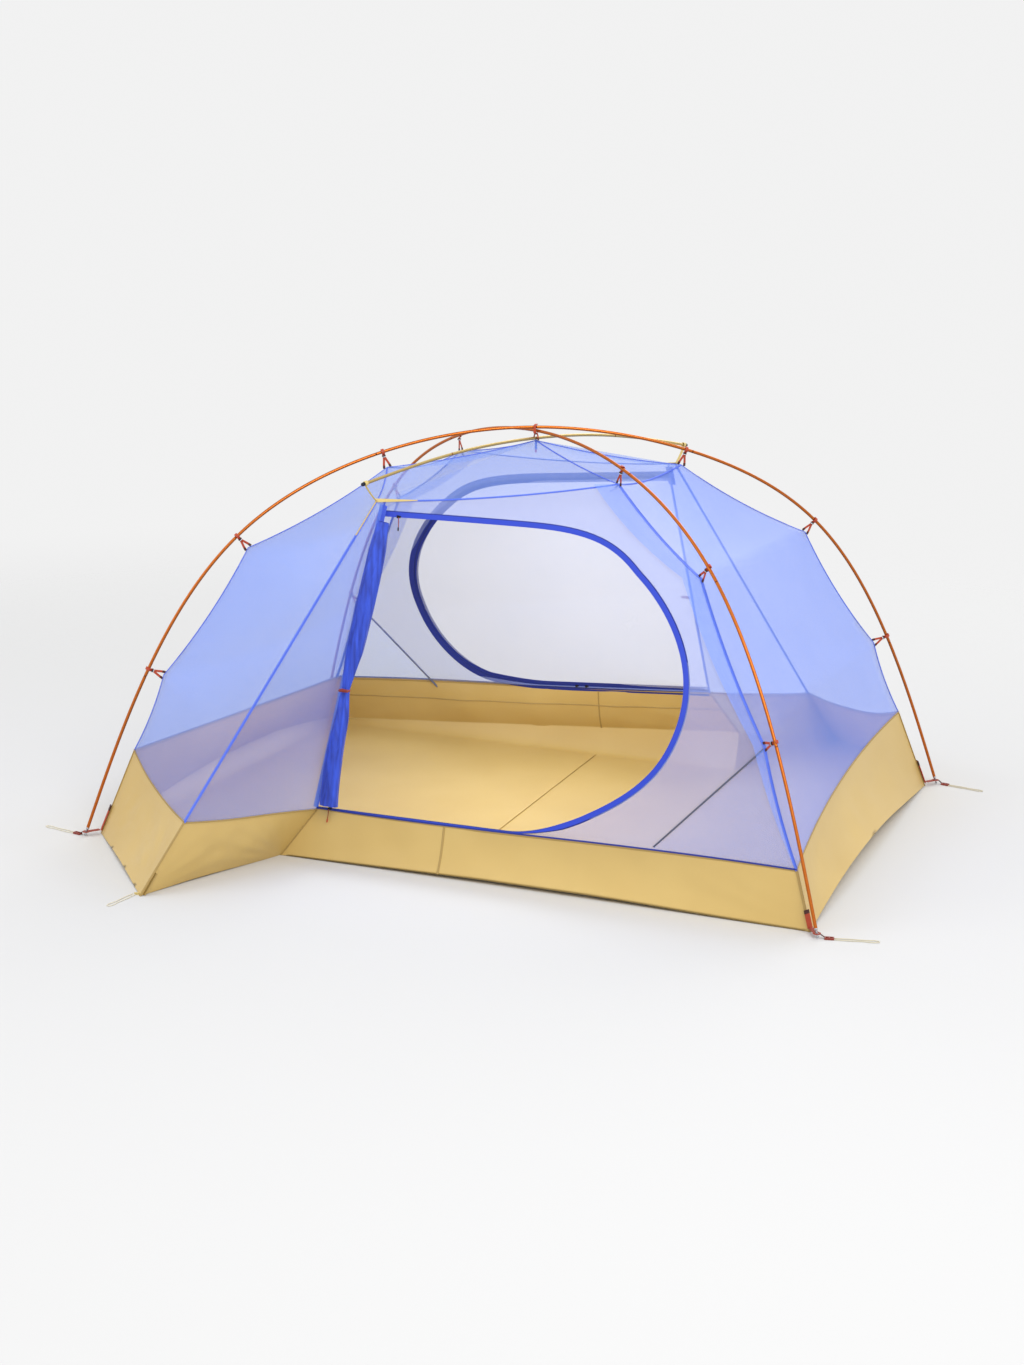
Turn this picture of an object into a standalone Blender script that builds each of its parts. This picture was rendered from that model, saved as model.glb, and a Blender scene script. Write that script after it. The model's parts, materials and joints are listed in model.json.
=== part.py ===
"""A two-person tent on two crossed hoop poles and a short ridge pole, pitched without its fly.

Metres, +Z up. The origin is on the ground at the centre of the tent, X runs along the sleepers
and the front door faces -Y. The back half is the front half turned half a turn about Z.
"""

import math

import bmesh
import bpy
import numpy as np
from mathutils import Matrix, Vector

# The frame
FOOT_X = 1.065
FOOT_Y = 0.764
PEAK = 1.139
POLE_RADIUS = 0.0045
POLE_WALL = 0.0007
SHOCK_CORD_RADIUS = 0.00125
POLE_CROSSING_GAP = 0.001
POLE_FOOT_HEIGHT = 0.024
# Each clip's place on a pole, from the foot up: how far in from the foot, sideways bow, how far
# below the peak.
POLE_A_STATIONS = ((0.1922, 0.006, 0.659), (0.4497, -0.009, 0.292), (0.8717, -0.0436, 0.068))
POLE_B_STATIONS = ((0.1961, 0.0, 0.677), (0.4919, 0.0, 0.276), (0.8929, 0.005, 0.069))
POLE_SAMPLES = 41
TIP_RADIUS = 0.003
TIP_COLLAR_RADIUS = 0.0046
TIP_COLLAR = 0.004
TIP_TAPER = 0.002
TIP_SPIGOT = 0.018
TIP_FIT = 0.0008
TIP_SEAT_GAP = 0.0004
SHOCK_CORD_END = 0.022

RIDGE_RADIUS = 0.0043
RIDGE_END = Vector((-0.267, -0.598, PEAK - 0.105))
RIDGE_PEAK = PEAK - 0.0315
RIDGE_BOW = Vector((0.0, 0.0, 0.018))
RIDGE_SAMPLES = 17

# The clips
CLIP_REACH = 0.046
CLIP_WIDTH = 0.009
CLIP_PLAY = 0.0015
CLIP_WALL = 0.0025
CLIP_STEM = 0.004
CLIP_STEM_LENGTH = 0.008
CLIP_LIP = 0.5
CLIP_THROAT_DEGREES = 16.0
STRAP_THICK = 0.0014
STRAP_WIDTH = 0.005
STRAP_SPREAD = 0.018
STRAP_LIFT = 0.003
STRAP_HEM = 0.001
STRAP_GRIP = 0.004
STRAP_FORK = 0.005
APEX_DROP = 0.038
APEX_CLIP_HALF_WIDTH = 0.004
APEX_CLIP_PLAY = 0.002
APEX_CLIP_WALL = 0.003
APEX_CLIP_LIP = 0.6
APEX_RIDGE_GAP = 0.0012
APEX_LEG_RADIUS = 0.0022
APEX_LEG_SPREAD = ((0.0033, 0.0030), (0.0095, 0.0))
APEX_LEG_FOOT = (0.01045, 0.0035)

# The tent body
CLOTH = 0.0012
SEAM = 0.002
ROOF_STEPS = 3
PANEL_STEPS = 4
WALL_COLUMNS = 10
FLOOR_CORNER = Vector((-1.035, -0.725, 0.0))
BATHTUB_A = Vector((-0.953, -0.669, 0.2395))
BATHTUB_B = Vector((0.991, -0.711, 0.151))
SIDE_PEG = Vector((-0.649, -1.156, 0.0))
SIDE_TOP = Vector((-0.577, -1.044, 0.178))
RIDGE_CORNER = Vector((-0.2535, -0.5366, PEAK - 0.157))
NOTCH = Vector((-0.475, -0.700, 0.0))
NOTCH_TOP = Vector((-0.378, -0.664, 0.135))
# The closed back door pulls the bathtub wall and the floor's edge up off the ground.
BACK_NOTCH = Vector((-0.440, -0.700, 0.112))
BACK_NOTCH_TOP = Vector((-0.352, -0.654, 0.245))
FLOOR_LIFT_REACH = 0.34
FLOOR_PEG_HOLD = 0.15
FLOOR_RIBS = (-0.85, -0.2, 0.1, 0.3, 0.85)
FLOOR_SHARES = (0.0, 0.25, 0.5, 0.7, 0.8, 0.88, 0.94, 1.0)
HINGE_TOP_OFFSET = Vector((0.020, 0.010, -0.002))

# The doors: the zip's line in the wall, across and up
DOOR_TOP = 0.943
DOOR_LINE = ((0.112, 0.927), (0.370, 0.886), (0.535, 0.767), (0.642, 0.545), (0.592, 0.362), (0.440, 0.232))
DOOR_FOOT_X = 0.276
DOOR_SILL = 0.006
ZIP_RADIUS = 0.0018
ZIP_GAP = 0.0026
DOOR_HINGE_GAP = 0.004
ZIP_SAMPLES = 29
DOORWAY_SPILL = 0.15
DOORWAY_DROP = Vector((-0.02, 0.0, -0.03))
CUTTER_DEPTH = 0.5
CUT_MERGE = 0.0002  # corners nearer than this are merged after a cut
CUT_FLAT = math.radians(0.2)  # faces that turn by less are joined after a cut
ROLL_OFFSET = Vector((0.024, -0.030, 0.0))
ROLL_RADIUS = 0.024
ROLL_SAMPLES = 22
ROLL_TOP_GAP = 0.012
ROLL_TOP_RADIUS = 0.016
ROLL_FOOT_GAP = 0.020
ROLL_FOOT_RADIUS = 0.021
ROLL_FOOT_SHIFT = 0.030
# Where the toggle draws the roll in, and the roll's shape from the top down:
# height, radius, shift away from the hinge line.
ROLL_PINCH = (0.478, 0.011, -0.004)
ROLL_UPPER = ((0.86, 0.024, 0.0), (0.72, 0.024, 0.0), (0.58, 0.0228, 0.0))
ROLL_LOWER = ((0.40, 0.0189, 0.004), (0.28, 0.021, 0.014))

SLIDER_LENGTH = 0.012
SLIDER_HALF = 0.0036
SLIDER_PLAY = 0.0005
# How far along the zip each slider stands, from the hinge's top or from its foot.
SLIDER_ROLL_GAP = 0.004
SLIDER_FRONT_TOP = ROLL_OFFSET.x + ROLL_RADIUS + SLIDER_ROLL_GAP
SLIDER_FRONT_SILL = 0.039
SLIDER_BACK_RIGHT = 0.421
SLIDER_BACK_LEFT = 0.446
PULL_LENGTH = 0.034
PULL_RADIUS = 0.0012
PULL_LEAN = 0.55
PULL_ROOT = 0.0005
PULL_BEND = ((0.003, 0.0), (0.0055, 0.003))
TOGGLE_LENGTH = 0.030
TOGGLE_RADIUS = 0.0045
TOGGLE_TAPER = 0.003
TOGGLE_STEM = 0.007
TOGGLE_STEM_RADIUS = 0.0016
TOGGLE_REACH = 0.012
BACK_TOGGLE_HEIGHT = 0.555
BACK_TOGGLE_OFFSET = Vector((-0.026, 0.010, 0.0))

# The ground fittings
STRAP_PLATE = 0.0016
CORNER_PLATE_HEIGHT = 0.012
CORNER_RING_RADIUS = 0.0105
CORNER_RING_HOLE = 0.0052
CORNER_TONGUE = 0.015
CORNER_TONGUE_GAP = 0.0045
BUCKLE_LENGTH = 0.024
BUCKLE_WIDTH = 0.013
BUCKLE_HEIGHT = 0.005
BUCKLE_START = 0.016
BUCKLE_RAIL = 0.0025
BUCKLE_BAR = 0.003
BUCKLE_WINDOWS = 2
CORD_RADIUS = 0.0013
CORD_GAP = 0.0003
GUY_REACH = 0.138
GUY_SPREAD = 0.011
GUY_HEADING = Vector((0.976, -0.217, 0.0))
PEG_LOOP_REACH = 0.112
PEG_LOOP_HEADING = Vector((-0.118, -0.993, 0.0))
PEG_LOOP_ROOT = Vector((-0.0207, 0.006, 0.0))
# A peg loop's route, out and back: its share of the reach, its share of half the spread.
LOOP_ROUTE = ((0.0, 0.8), (0.35, 1.15), (0.75, 1.05), (0.96, 0.8), (1.0, 0.0))
LOOP_ROUTE += ((0.96, -0.8), (0.72, -1.0), (0.33, -1.1), (0.0, -0.8))
CORD_SAMPLES = 26
TAB_WIDTH = 0.012
TAB_RING_LENGTH = 0.005
TAB_PLAY = 0.0009
TAB_WALL = 0.0020
TAB_INSET = 0.001
TAB_SEW_GAP = 0.005

HALF_TURN = Matrix.Rotation(math.pi, 4, "Z")
QUARTER_TURN = Matrix.Rotation(math.pi / 2.0, 4, "Z")
UPRIGHT = Matrix.Rotation(math.pi / 2.0, 4, "X")
UP = Vector((0.0, 0.0, 1.0))
BACKWARD = Vector((0.0, 1.0, 0.0))


for old in list(bpy.data.objects):
    bpy.data.objects.remove(old, do_unlink=True)

PARTS = bpy.data.collections.new("tent_on_poles")
CUTTERS = bpy.data.collections.new("cutters")
for group in (PARTS, CUTTERS):
    bpy.context.scene.collection.children.link(group)


def material(name, colour, roughness, metallic=0.0):
    """A Principled material from an sRGB colour of 0 to 255 a channel."""
    made = bpy.data.materials.new(name)
    made.use_nodes = True
    shader = made.node_tree.nodes["Principled BSDF"]
    linear = [(channel / 255.0) ** 2.2 for channel in colour]
    shader.inputs["Base Color"].default_value = (*linear, 1.0)
    shader.inputs["Roughness"].default_value = roughness
    shader.inputs["Metallic"].default_value = metallic
    return made


POLE_ALLOY = material("anodised_copper_alloy", (208, 110, 45), 0.28, 1.0)
RIDGE_ALLOY = material("anodised_gold_alloy", (205, 182, 125), 0.28, 1.0)
BRIGHT_METAL = material("machined_aluminium", (190, 190, 192), 0.3, 1.0)
ELASTIC = material("shock_cord", (35, 35, 38), 0.8)
CLIP_PLASTIC = material("clip_acetal", (158, 62, 30), 0.45)
WEBBING = material("rust_webbing", (170, 72, 38), 0.8)
SHEER = material("sheer_nylon", (157, 180, 245), 0.55)
MESH_CLOTH = material("door_mesh", (205, 212, 244), 0.7)
DOOR_CLOTH = material("door_nylon", (63, 102, 224), 0.6)
BATHTUB_CLOTH = material("coated_nylon", (212, 184, 118), 0.6)
ZIP_TAPE = material("zip_tape", (38, 60, 180), 0.6)
SLIDER_METAL = material("painted_zinc", (70, 40, 34), 0.4, 0.6)
CORD_PALE = material("reflective_cord", (216, 200, 170), 0.75)
TAB_WEBBING = material("sand_webbing", (226, 204, 140), 0.8)


def finish(obj, surface, collection=PARTS):
    """Gives an object its material and its collection."""
    obj.data.materials.clear()
    obj.data.materials.append(surface)
    collection.objects.link(obj)
    return obj


def mesh_object(name, vertices, faces, surface, collection=PARTS):
    data = bpy.data.meshes.new(name)
    data.from_pydata([tuple(v) for v in vertices], [], faces)
    return finish(bpy.data.objects.new(name, data), surface, collection)


def smooth_shading(obj, degrees=40.0):
    obj.data.shade_smooth()
    obj.data.set_sharp_from_angle(angle=math.radians(degrees))
    return obj


def spline_reader(stations):
    """A function of chord length that reads the natural cubic through the stations, and its length."""
    p = np.array([tuple(s) for s in stations], float)
    spans = np.linalg.norm(np.diff(p, axis=0), axis=1)
    knots = np.concatenate(([0.0], np.cumsum(spans)))
    count = len(p)
    system = np.eye(count)
    pull = np.zeros_like(p)
    for i in range(1, count - 1):
        system[i, i - 1:i + 2] = spans[i - 1], 2.0 * (spans[i - 1] + spans[i]), spans[i]
        pull[i] = 6.0 * ((p[i + 1] - p[i]) / spans[i] - (p[i] - p[i - 1]) / spans[i - 1])
    bend = np.linalg.solve(system, pull)

    def read(s):
        i = int(np.clip(np.searchsorted(knots, s, side="right") - 1, 0, count - 2))
        a = (knots[i + 1] - s) / spans[i]
        b = (s - knots[i]) / spans[i]
        curve = ((a ** 3 - a) * bend[i] + (b ** 3 - b) * bend[i + 1]) * spans[i] ** 2 / 6.0
        return Vector(a * p[i] + b * p[i + 1] + curve)

    return read, knots


def spline_points(stations, samples):
    read, knots = spline_reader(stations)
    return [read(s) for s in np.linspace(0.0, knots[-1], samples)]


def tube(name, points, radius, surface, resolution=2, radii=None, caps=True):
    """A curve object along the points; radii scale it point by point."""
    data = bpy.data.curves.new(name, "CURVE")
    data.dimensions = "3D"
    data.bevel_depth = radius
    data.bevel_resolution = resolution
    data.use_fill_caps = caps
    spline = data.splines.new("POLY")
    spline.points.add(len(points) - 1)
    for i, point in enumerate(points):
        spline.points[i].co = (*point, 1.0)
        spline.points[i].radius = radii[i] / radius if radii else 1.0
    return finish(bpy.data.objects.new(name, data), surface)


def meshed(curve_object):
    """The curve object as a mesh of the same name, its caps welded on."""
    bpy.context.view_layer.update()
    graph = bpy.context.evaluated_depsgraph_get()
    data = bpy.data.meshes.new_from_object(curve_object.evaluated_get(graph))
    shell = bmesh.new()
    shell.from_mesh(data)
    bmesh.ops.remove_doubles(shell, verts=shell.verts, dist=1e-6)
    bmesh.ops.recalc_face_normals(shell, faces=shell.faces)
    shell.to_mesh(data)
    shell.free()
    name = curve_object.name
    made = bpy.data.objects.new(name, data)
    made.matrix_world = curve_object.matrix_world.copy()
    for collection in list(curve_object.users_collection):
        collection.objects.link(made)
    bpy.data.objects.remove(curve_object, do_unlink=True)
    made.name = name
    return made


def hollow_tube(name, points, radius, wall, surface):
    """A tube open at both ends."""
    made = meshed(tube(name, points, radius, surface, caps=False))
    skin = made.modifiers.new("wall", "SOLIDIFY")
    skin.thickness = wall
    skin.offset = -1.0
    return smooth_shading(made)


def plate(name, outline, holes, thickness, surface, collection=PARTS):
    """A flat outline in XY with holes, thickened evenly about its plane, as a mesh."""
    data = bpy.data.curves.new(name, "CURVE")
    data.dimensions = "2D"
    data.fill_mode = "BOTH"
    data.extrude = thickness / 2.0
    for ring in (outline, *holes):
        spline = data.splines.new("POLY")
        spline.points.add(len(ring) - 1)
        for i, (x, y) in enumerate(ring):
            spline.points[i].co = (x, y, 0.0, 1.0)
        spline.use_cyclic_u = True
    flat = finish(bpy.data.objects.new(name, data), surface, collection)
    return meshed(flat)


def arc(centre, radius, start, end, steps):
    """Points on a circle in XY, from start to end in degrees."""
    angles = [math.radians(start + (end - start) * i / steps) for i in range(steps + 1)]
    return [(centre[0] + radius * math.cos(a), centre[1] + radius * math.sin(a)) for a in angles]


def rectangle(low, high, half_width):
    """A rectangle's corners in XY, from x = low to x = high."""
    return [(low, -half_width), (high, -half_width), (high, half_width), (low, half_width)]


def join(target, others):
    """Unites other solids with the target, then removes them."""
    for other in others:
        union = target.modifiers.new("join", "BOOLEAN")
        union.operation = "UNION"
        union.object = other
        bpy.context.view_layer.update()
        graph = bpy.context.evaluated_depsgraph_get()
        data = bpy.data.meshes.new_from_object(target.evaluated_get(graph))
        target.modifiers.clear()
        target.data = data
        bpy.data.objects.remove(other, do_unlink=True)
    return target


def place(obj, origin, x_axis, z_axis):
    """Puts an object at origin with its own X and Z along the given directions."""
    x = x_axis.normalized()
    y = z_axis.cross(x).normalized()
    z = x.cross(y)
    turned = Matrix((x, y, z)).transposed().to_4x4()
    obj.matrix_world = Matrix.Translation(origin) @ turned
    return obj


def turned(point, is_back):
    """The point itself in front, or its twin half a turn round at the back."""
    return HALF_TURN @ point if is_back else point.copy()


def between(a, b, share):
    return a + (b - a) * share


def at_height(low, high, z):
    """The point of the line from low to high that lies at height z."""
    return between(low, high, (z - low.z) / (high.z - low.z))


def grid(rows):
    """Vertices and quads of a surface through rows of equally many points."""
    width = len(rows[0])
    vertices = [point for row in rows for point in row]
    faces = []
    for i in range(len(rows) - 1):
        for j in range(width - 1):
            k = i * width + j
            faces.append((k, k + 1, k + 1 + width, k + width))
    return vertices, faces


def trimmed(points, margin):
    """A polyline with its two end points drawn in by a margin."""
    start = between(points[0], points[1], margin / (points[1] - points[0]).length)
    end = between(points[-1], points[-2], margin / (points[-2] - points[-1]).length)
    return [start, *points[1:-1], end]


def cloth(name, rows, surface, is_back=False, margin=SEAM):
    """A sewn panel through the rows, drawn in by the seam all round and thickened inwards."""
    rows = [trimmed(row, margin) for row in rows]
    columns = [trimmed(list(column), margin) for column in zip(*rows)]
    rows = [[turned(point, is_back) for point in row] for row in zip(*columns)]
    vertices, faces = grid(rows)
    made = mesh_object(name, vertices, faces, surface)
    skin = made.modifiers.new("cloth", "SOLIDIFY")
    skin.thickness = CLOTH
    skin.offset = -1.0
    return made


def row_between(points, steps):
    """Points along a polyline, each of its stretches cut into equal steps."""
    made = []
    for start, end in zip(points, points[1:]):
        made += [between(start, end, i / steps) for i in range(steps)]
    return [*made, points[-1]]


# Where the poles and the tent's edges run
DIAGONAL_A = Vector((-FOOT_X, -FOOT_Y, 0.0)).normalized()
DIAGONAL_B = Vector((FOOT_X, -FOOT_Y, 0.0)).normalized()
FOOT_REACH = math.hypot(FOOT_X, FOOT_Y)
PEAK_B = PEAK - 2.0 * POLE_RADIUS - POLE_CROSSING_GAP


def pole_path(diagonal, stations, peak):
    """A pole's centre line as stations from its front foot over the top to its back foot."""
    sideways = Vector((-diagonal.y, diagonal.x, 0.0))
    half = []
    for inset, bow, drop in stations:
        half.append(diagonal * (FOOT_REACH - inset) + sideways * bow + UP * (PEAK - drop))
    half.insert(0, at_height(diagonal * FOOT_REACH, half[0], POLE_FOOT_HEIGHT))
    return [*half, UP * peak, *(HALF_TURN @ point for point in reversed(half))]


def clip_frames(path):
    """For each clip on a pole: the pole's centre, its direction and the way out from the tent."""
    read, knots = spline_reader(path)
    frames = []
    for knot in knots[1:-1]:
        along = (read(knot + CLIP_STEM) - read(knot - CLIP_STEM)).normalized()
        across = along.cross(UP).normalized()
        outward = across.cross(along).normalized()
        frames.append((read(knot), along, outward))
    return frames


PATH_A = pole_path(DIAGONAL_A, POLE_A_STATIONS, PEAK)
PATH_B = pole_path(DIAGONAL_B, POLE_B_STATIONS, PEAK_B)
FRAMES_A = clip_frames(PATH_A)
FRAMES_B = clip_frames(PATH_B)
APEX = UP * (PEAK - APEX_DROP)
EDGE_A = [BATHTUB_A] + [centre - outward * CLIP_REACH for centre, _, outward in FRAMES_A[:3]]
EDGE_B = [BATHTUB_B] + [centre - outward * CLIP_REACH for centre, _, outward in FRAMES_B[:3]]
HINGE_TOP = RIDGE_CORNER + HINGE_TOP_OFFSET


def heights_along(low, high, edge):
    """The line from low to high, cut at the heights of another edge's inner points."""
    middle = [at_height(low, high, point.z) for point in edge[1:-1]]
    return [low, *middle, high]


def shock_corded_pole(letter, path):
    points = spline_points(path, POLE_SAMPLES)
    hollow_tube(f"pole_{letter}", points, POLE_RADIUS, POLE_WALL, POLE_ALLOY)
    tube(f"shock_cord_{letter}", trimmed(points, SHOCK_CORD_END), SHOCK_CORD_RADIUS, ELASTIC, resolution=1)
    return points


def pole_tip(name, end, inside):
    """A turned tip with its spigot up inside the pole and its ball end on the ground."""
    axis = (inside - end).normalized()
    below = (end.z - TIP_RADIUS) / axis.z
    spigot = POLE_RADIUS - POLE_WALL - TIP_FIT
    profile = [(0.0, TIP_SPIGOT), (spigot, TIP_SPIGOT), (spigot, -TIP_SEAT_GAP)]
    profile += [(TIP_COLLAR_RADIUS, -TIP_SEAT_GAP), (TIP_COLLAR_RADIUS, -TIP_COLLAR)]
    profile.append((TIP_RADIUS, -TIP_COLLAR - TIP_TAPER))
    for angle in (0, 30, 60, 90):
        turn = math.radians(angle)
        profile.append((TIP_RADIUS * math.cos(turn), -below - TIP_RADIUS * math.sin(turn)))
    profile[-1] = (0.0, profile[-1][1])
    data = bpy.data.meshes.new(name)
    data.from_pydata([(x, 0.0, z) for x, z in profile], [(i, i + 1) for i in range(len(profile) - 1)], [])
    made = finish(bpy.data.objects.new(name, data), BRIGHT_METAL)
    spin = made.modifiers.new("turn", "SCREW")
    spin.steps = 12
    spin.render_steps = 12
    spin.use_merge_vertices = True
    spin.merge_threshold = 1e-5
    spin.use_smooth_shade = True
    spin.use_normal_calculate = True
    return place(made, end, axis.cross(BACKWARD).normalized(), axis)


def clip_mesh():
    """A hook open at one side, its stem, and the two legs of its sewn strap, as one mesh.

    Its own X lies along the pole, and Z goes from the canopy's edge out to the pole.
    """
    inner = POLE_RADIUS + CLIP_PLAY
    outer = inner + CLIP_WALL
    lip = inner * CLIP_LIP
    half_stem = CLIP_STEM / 2.0
    stem_foot = CLIP_REACH - outer - CLIP_STEM_LENGTH
    hook = [(lip, CLIP_REACH + outer)]
    hook += arc((0.0, CLIP_REACH), outer, 90.0, 270.0 - CLIP_THROAT_DEGREES, 8)
    hook += [(-half_stem, stem_foot), (half_stem, stem_foot), (half_stem, CLIP_REACH - outer)]
    hook += [(lip, CLIP_REACH - outer), (lip, CLIP_REACH - inner)]
    hook += arc((0.0, CLIP_REACH), inner, 270.0, 90.0, 8)
    hook += [(lip, CLIP_REACH + inner)]
    body = plate("clip_hook", hook, (), CLIP_WIDTH, CLIP_PLASTIC)
    body.matrix_world = QUARTER_TURN @ UPRIGHT
    waist = STRAP_WIDTH / 2.0
    wide = STRAP_SPREAD / 2.0
    top = stem_foot + STRAP_GRIP
    legs = [(-waist - STRAP_HEM, top), (waist + STRAP_HEM, top), (wide + waist, STRAP_LIFT)]
    legs += [(wide - waist, STRAP_LIFT), (0.0, stem_foot - STRAP_FORK), (-wide + waist, STRAP_LIFT)]
    legs += [(-wide - waist, STRAP_LIFT)]
    strap = plate("clip_legs", legs, (), STRAP_THICK, WEBBING)
    strap.matrix_world = UPRIGHT
    joined = join(body, [strap])
    data = joined.data
    data.transform(joined.matrix_world)
    bpy.data.objects.remove(joined, do_unlink=True)
    data.materials.clear()
    data.materials.append(CLIP_PLASTIC)
    return data


def clips(letter, frames, data):
    """The clips of one pole, numbered from its front foot over the top to its back foot."""
    places = [frame for i, frame in enumerate(frames) if i != 3]
    for number, (centre, along, outward) in enumerate(places, 1):
        made = bpy.data.objects.new(f"clip_{letter}{number}", data)
        PARTS.objects.link(made)
        place(made, centre - outward * CLIP_REACH, along, outward)


def apex_clip():
    """One open hook round both poles where they cross, and a strap astride the ridge pole."""
    slant = FOOT_REACH / FOOT_X
    drift = APEX_CLIP_HALF_WIDTH * FOOT_Y / FOOT_X
    inside = POLE_RADIUS * slant + drift + APEX_CLIP_PLAY
    wall = APEX_CLIP_WALL
    top = PEAK + POLE_RADIUS + APEX_CLIP_PLAY
    low = PEAK_B - POLE_RADIUS - APEX_CLIP_PLAY
    foot = RIDGE_PEAK + RIDGE_RADIUS + APEX_RIDGE_GAP
    reach = inside * APEX_CLIP_LIP
    hook = [(reach, top), (-inside, top), (-inside, low), (reach, low), (reach, foot)]
    hook += [(-inside - wall, foot), (-inside - wall, top + wall), (reach, top + wall)]
    body = plate("apex_clip", hook, (), 2.0 * APEX_CLIP_HALF_WIDTH, CLIP_PLASTIC)
    body.matrix_world = QUARTER_TURN @ UPRIGHT
    heading = Vector((RIDGE_END.x, RIDGE_END.y, 0.0)).normalized()
    side = Vector((-heading.y, heading.x, 0.0))
    legs = []
    for sign in (-1.0, 1.0):
        path = [side * (sign * away) + UP * (foot + lift) for away, lift in APEX_LEG_SPREAD]
        path.append(side * (sign * APEX_LEG_FOOT[0]) + UP * (APEX.z + APEX_LEG_FOOT[1]))
        legs.append(meshed(tube(f"apex_leg_{sign}", path, APEX_LEG_RADIUS, WEBBING)))
    join(body, legs)
    body.name = "apex_clip"
    body.data.materials.clear()
    body.data.materials.append(CLIP_PLASTIC)


def ridge_pole():
    middle = UP * RIDGE_PEAK
    back = HALF_TURN @ RIDGE_END
    stations = [RIDGE_END, between(RIDGE_END, middle, 0.5) + RIDGE_BOW, middle]
    stations += [between(back, middle, 0.5) + RIDGE_BOW, back]
    points = spline_points(stations, RIDGE_SAMPLES)
    hollow_tube("ridge_pole", points, RIDGE_RADIUS, POLE_WALL, RIDGE_ALLOY)
    return points


def ridge_tab(name, points, is_back):
    """A sand webbing tab from the roof's ridge corner to a sleeve round the ridge pole's end."""
    along = (points[1] - points[0]).normalized()
    hole = RIDGE_RADIUS + TAB_PLAY
    outer = hole + TAB_WALL
    rim = arc((0.0, 0.0), outer, 0.0, 345.0, 23)
    bore = arc((0.0, 0.0), hole, 0.0, 337.5, 15)
    ring = plate(name, rim, (bore,), TAB_RING_LENGTH, TAB_WEBBING)
    centre = points[0] + along * (TAB_RING_LENGTH / 2.0 + TAB_INSET)
    drop = RIDGE_CORNER - centre
    drop -= along * drop.dot(along)
    down = drop.normalized()
    place(ring, centre, down.cross(along), along)
    start = centre + down * (hole + TAB_WALL / 2.0)
    end = RIDGE_CORNER + (start - RIDGE_CORNER).normalized() * TAB_SEW_GAP
    run = end - start
    strip = [(-TAB_WIDTH / 2.0, 0.0), (TAB_WIDTH / 2.0, 0.0)]
    strip += [(TAB_WIDTH / 2.0, run.length), (-TAB_WIDTH / 2.0, run.length)]
    tape = plate("tab_tape", strip, (), STRAP_PLATE, TAB_WEBBING)
    across = down.cross(along).normalized()
    place(tape, start, across, across.cross(run.normalized()))
    join(ring, [tape])
    ring.matrix_world = (HALF_TURN if is_back else Matrix.Identity(4)) @ ring.matrix_world
    ring.data.materials.clear()
    ring.data.materials.append(TAB_WEBBING)


def roof():
    """The six-cornered roof round the apex."""
    front = [EDGE_A[3], RIDGE_CORNER, EDGE_B[3]]
    corners = front + [HALF_TURN @ corner for corner in front]
    ring = row_between([*corners, corners[0]], ROOF_STEPS)[:-1]
    shares = [(i + 1) / ROOF_STEPS for i in range(ROOF_STEPS)]
    vertices = [APEX]
    for share in shares:
        for point in ring:
            length = (point - APEX).length
            vertices.append(between(APEX, point, share * (1.0 - SEAM / length)))
    count = len(ring)
    faces = [(0, 1 + i, 1 + (i + 1) % count) for i in range(count)]
    for r in range(len(shares) - 1):
        for i in range(count):
            a = 1 + r * count + i
            b = 1 + r * count + (i + 1) % count
            faces.append((a, a + count, b + count, b))
    made = mesh_object("roof_panel", vertices, faces, SHEER)
    skin = made.modifiers.new("cloth", "SOLIDIFY")
    skin.thickness = CLOTH
    skin.offset = -1.0


def end_panel(name, is_back):
    """The canopy's end, between a B pole's edge and the far A pole's edge."""
    far = [HALF_TURN @ point for point in EDGE_A]
    near_side = row_between(EDGE_B, 2)
    far_side = row_between(far, 2)
    rows = [row_between([a, b], PANEL_STEPS) for a, b in zip(near_side, far_side)]
    cloth(name, rows, SHEER, is_back)


def side_panel(name, notch_top, is_back):
    """The canopy beside a door: out from the A pole to the ridge seam, then back to the hinge."""
    seam = heights_along(SIDE_TOP, RIDGE_CORNER, EDGE_A)
    hinge = heights_along(notch_top, HINGE_TOP, EDGE_A)
    rows = []
    for a, b, c in zip(EDGE_A, seam, hinge):
        rows.append(row_between([a, b, c], PANEL_STEPS))
    cloth(name, rows, SHEER, is_back)


def door_wall_rows(notch_top):
    """The plain wall that a door is cut from, from the hinge line to the B pole's edge."""
    edge = row_between(EDGE_B, 2)
    hinge = heights_along(notch_top, HINGE_TOP, edge)
    return [row_between([a, b], WALL_COLUMNS) for a, b in zip(hinge, edge)]


def wall_depth(notch_top, x, z):
    """The wall's y at a place x across and z up."""
    edge = EDGE_B
    i = 0
    while i < len(edge) - 2 and edge[i + 1].z < z:
        i += 1
    right = at_height(edge[i], edge[i + 1], z)
    left = at_height(notch_top, HINGE_TOP, z)
    return left.y + (right.y - left.y) * (x - left.x) / (right.x - left.x)


def door_outline(notch_top):
    """The zip's line across and up, from the hinge's top round to the hinge's foot."""
    start = at_height(notch_top, HINGE_TOP, DOOR_TOP)
    first = (start.x + DOOR_HINGE_GAP, DOOR_TOP)
    sill = between(notch_top, BATHTUB_B, (DOOR_FOOT_X - notch_top.x) / (BATHTUB_B.x - notch_top.x))
    foot = (DOOR_FOOT_X, sill.z + DOOR_SILL)
    stations = [Vector((x, 0.0, z)) for x, z in (first, *DOOR_LINE, foot)]
    arch = [(point.x, point.z) for point in spline_points(stations, ZIP_SAMPLES)]
    last = (notch_top.x + DOOR_HINGE_GAP, notch_top.z + DOOR_SILL)
    return arch + [last]


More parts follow.
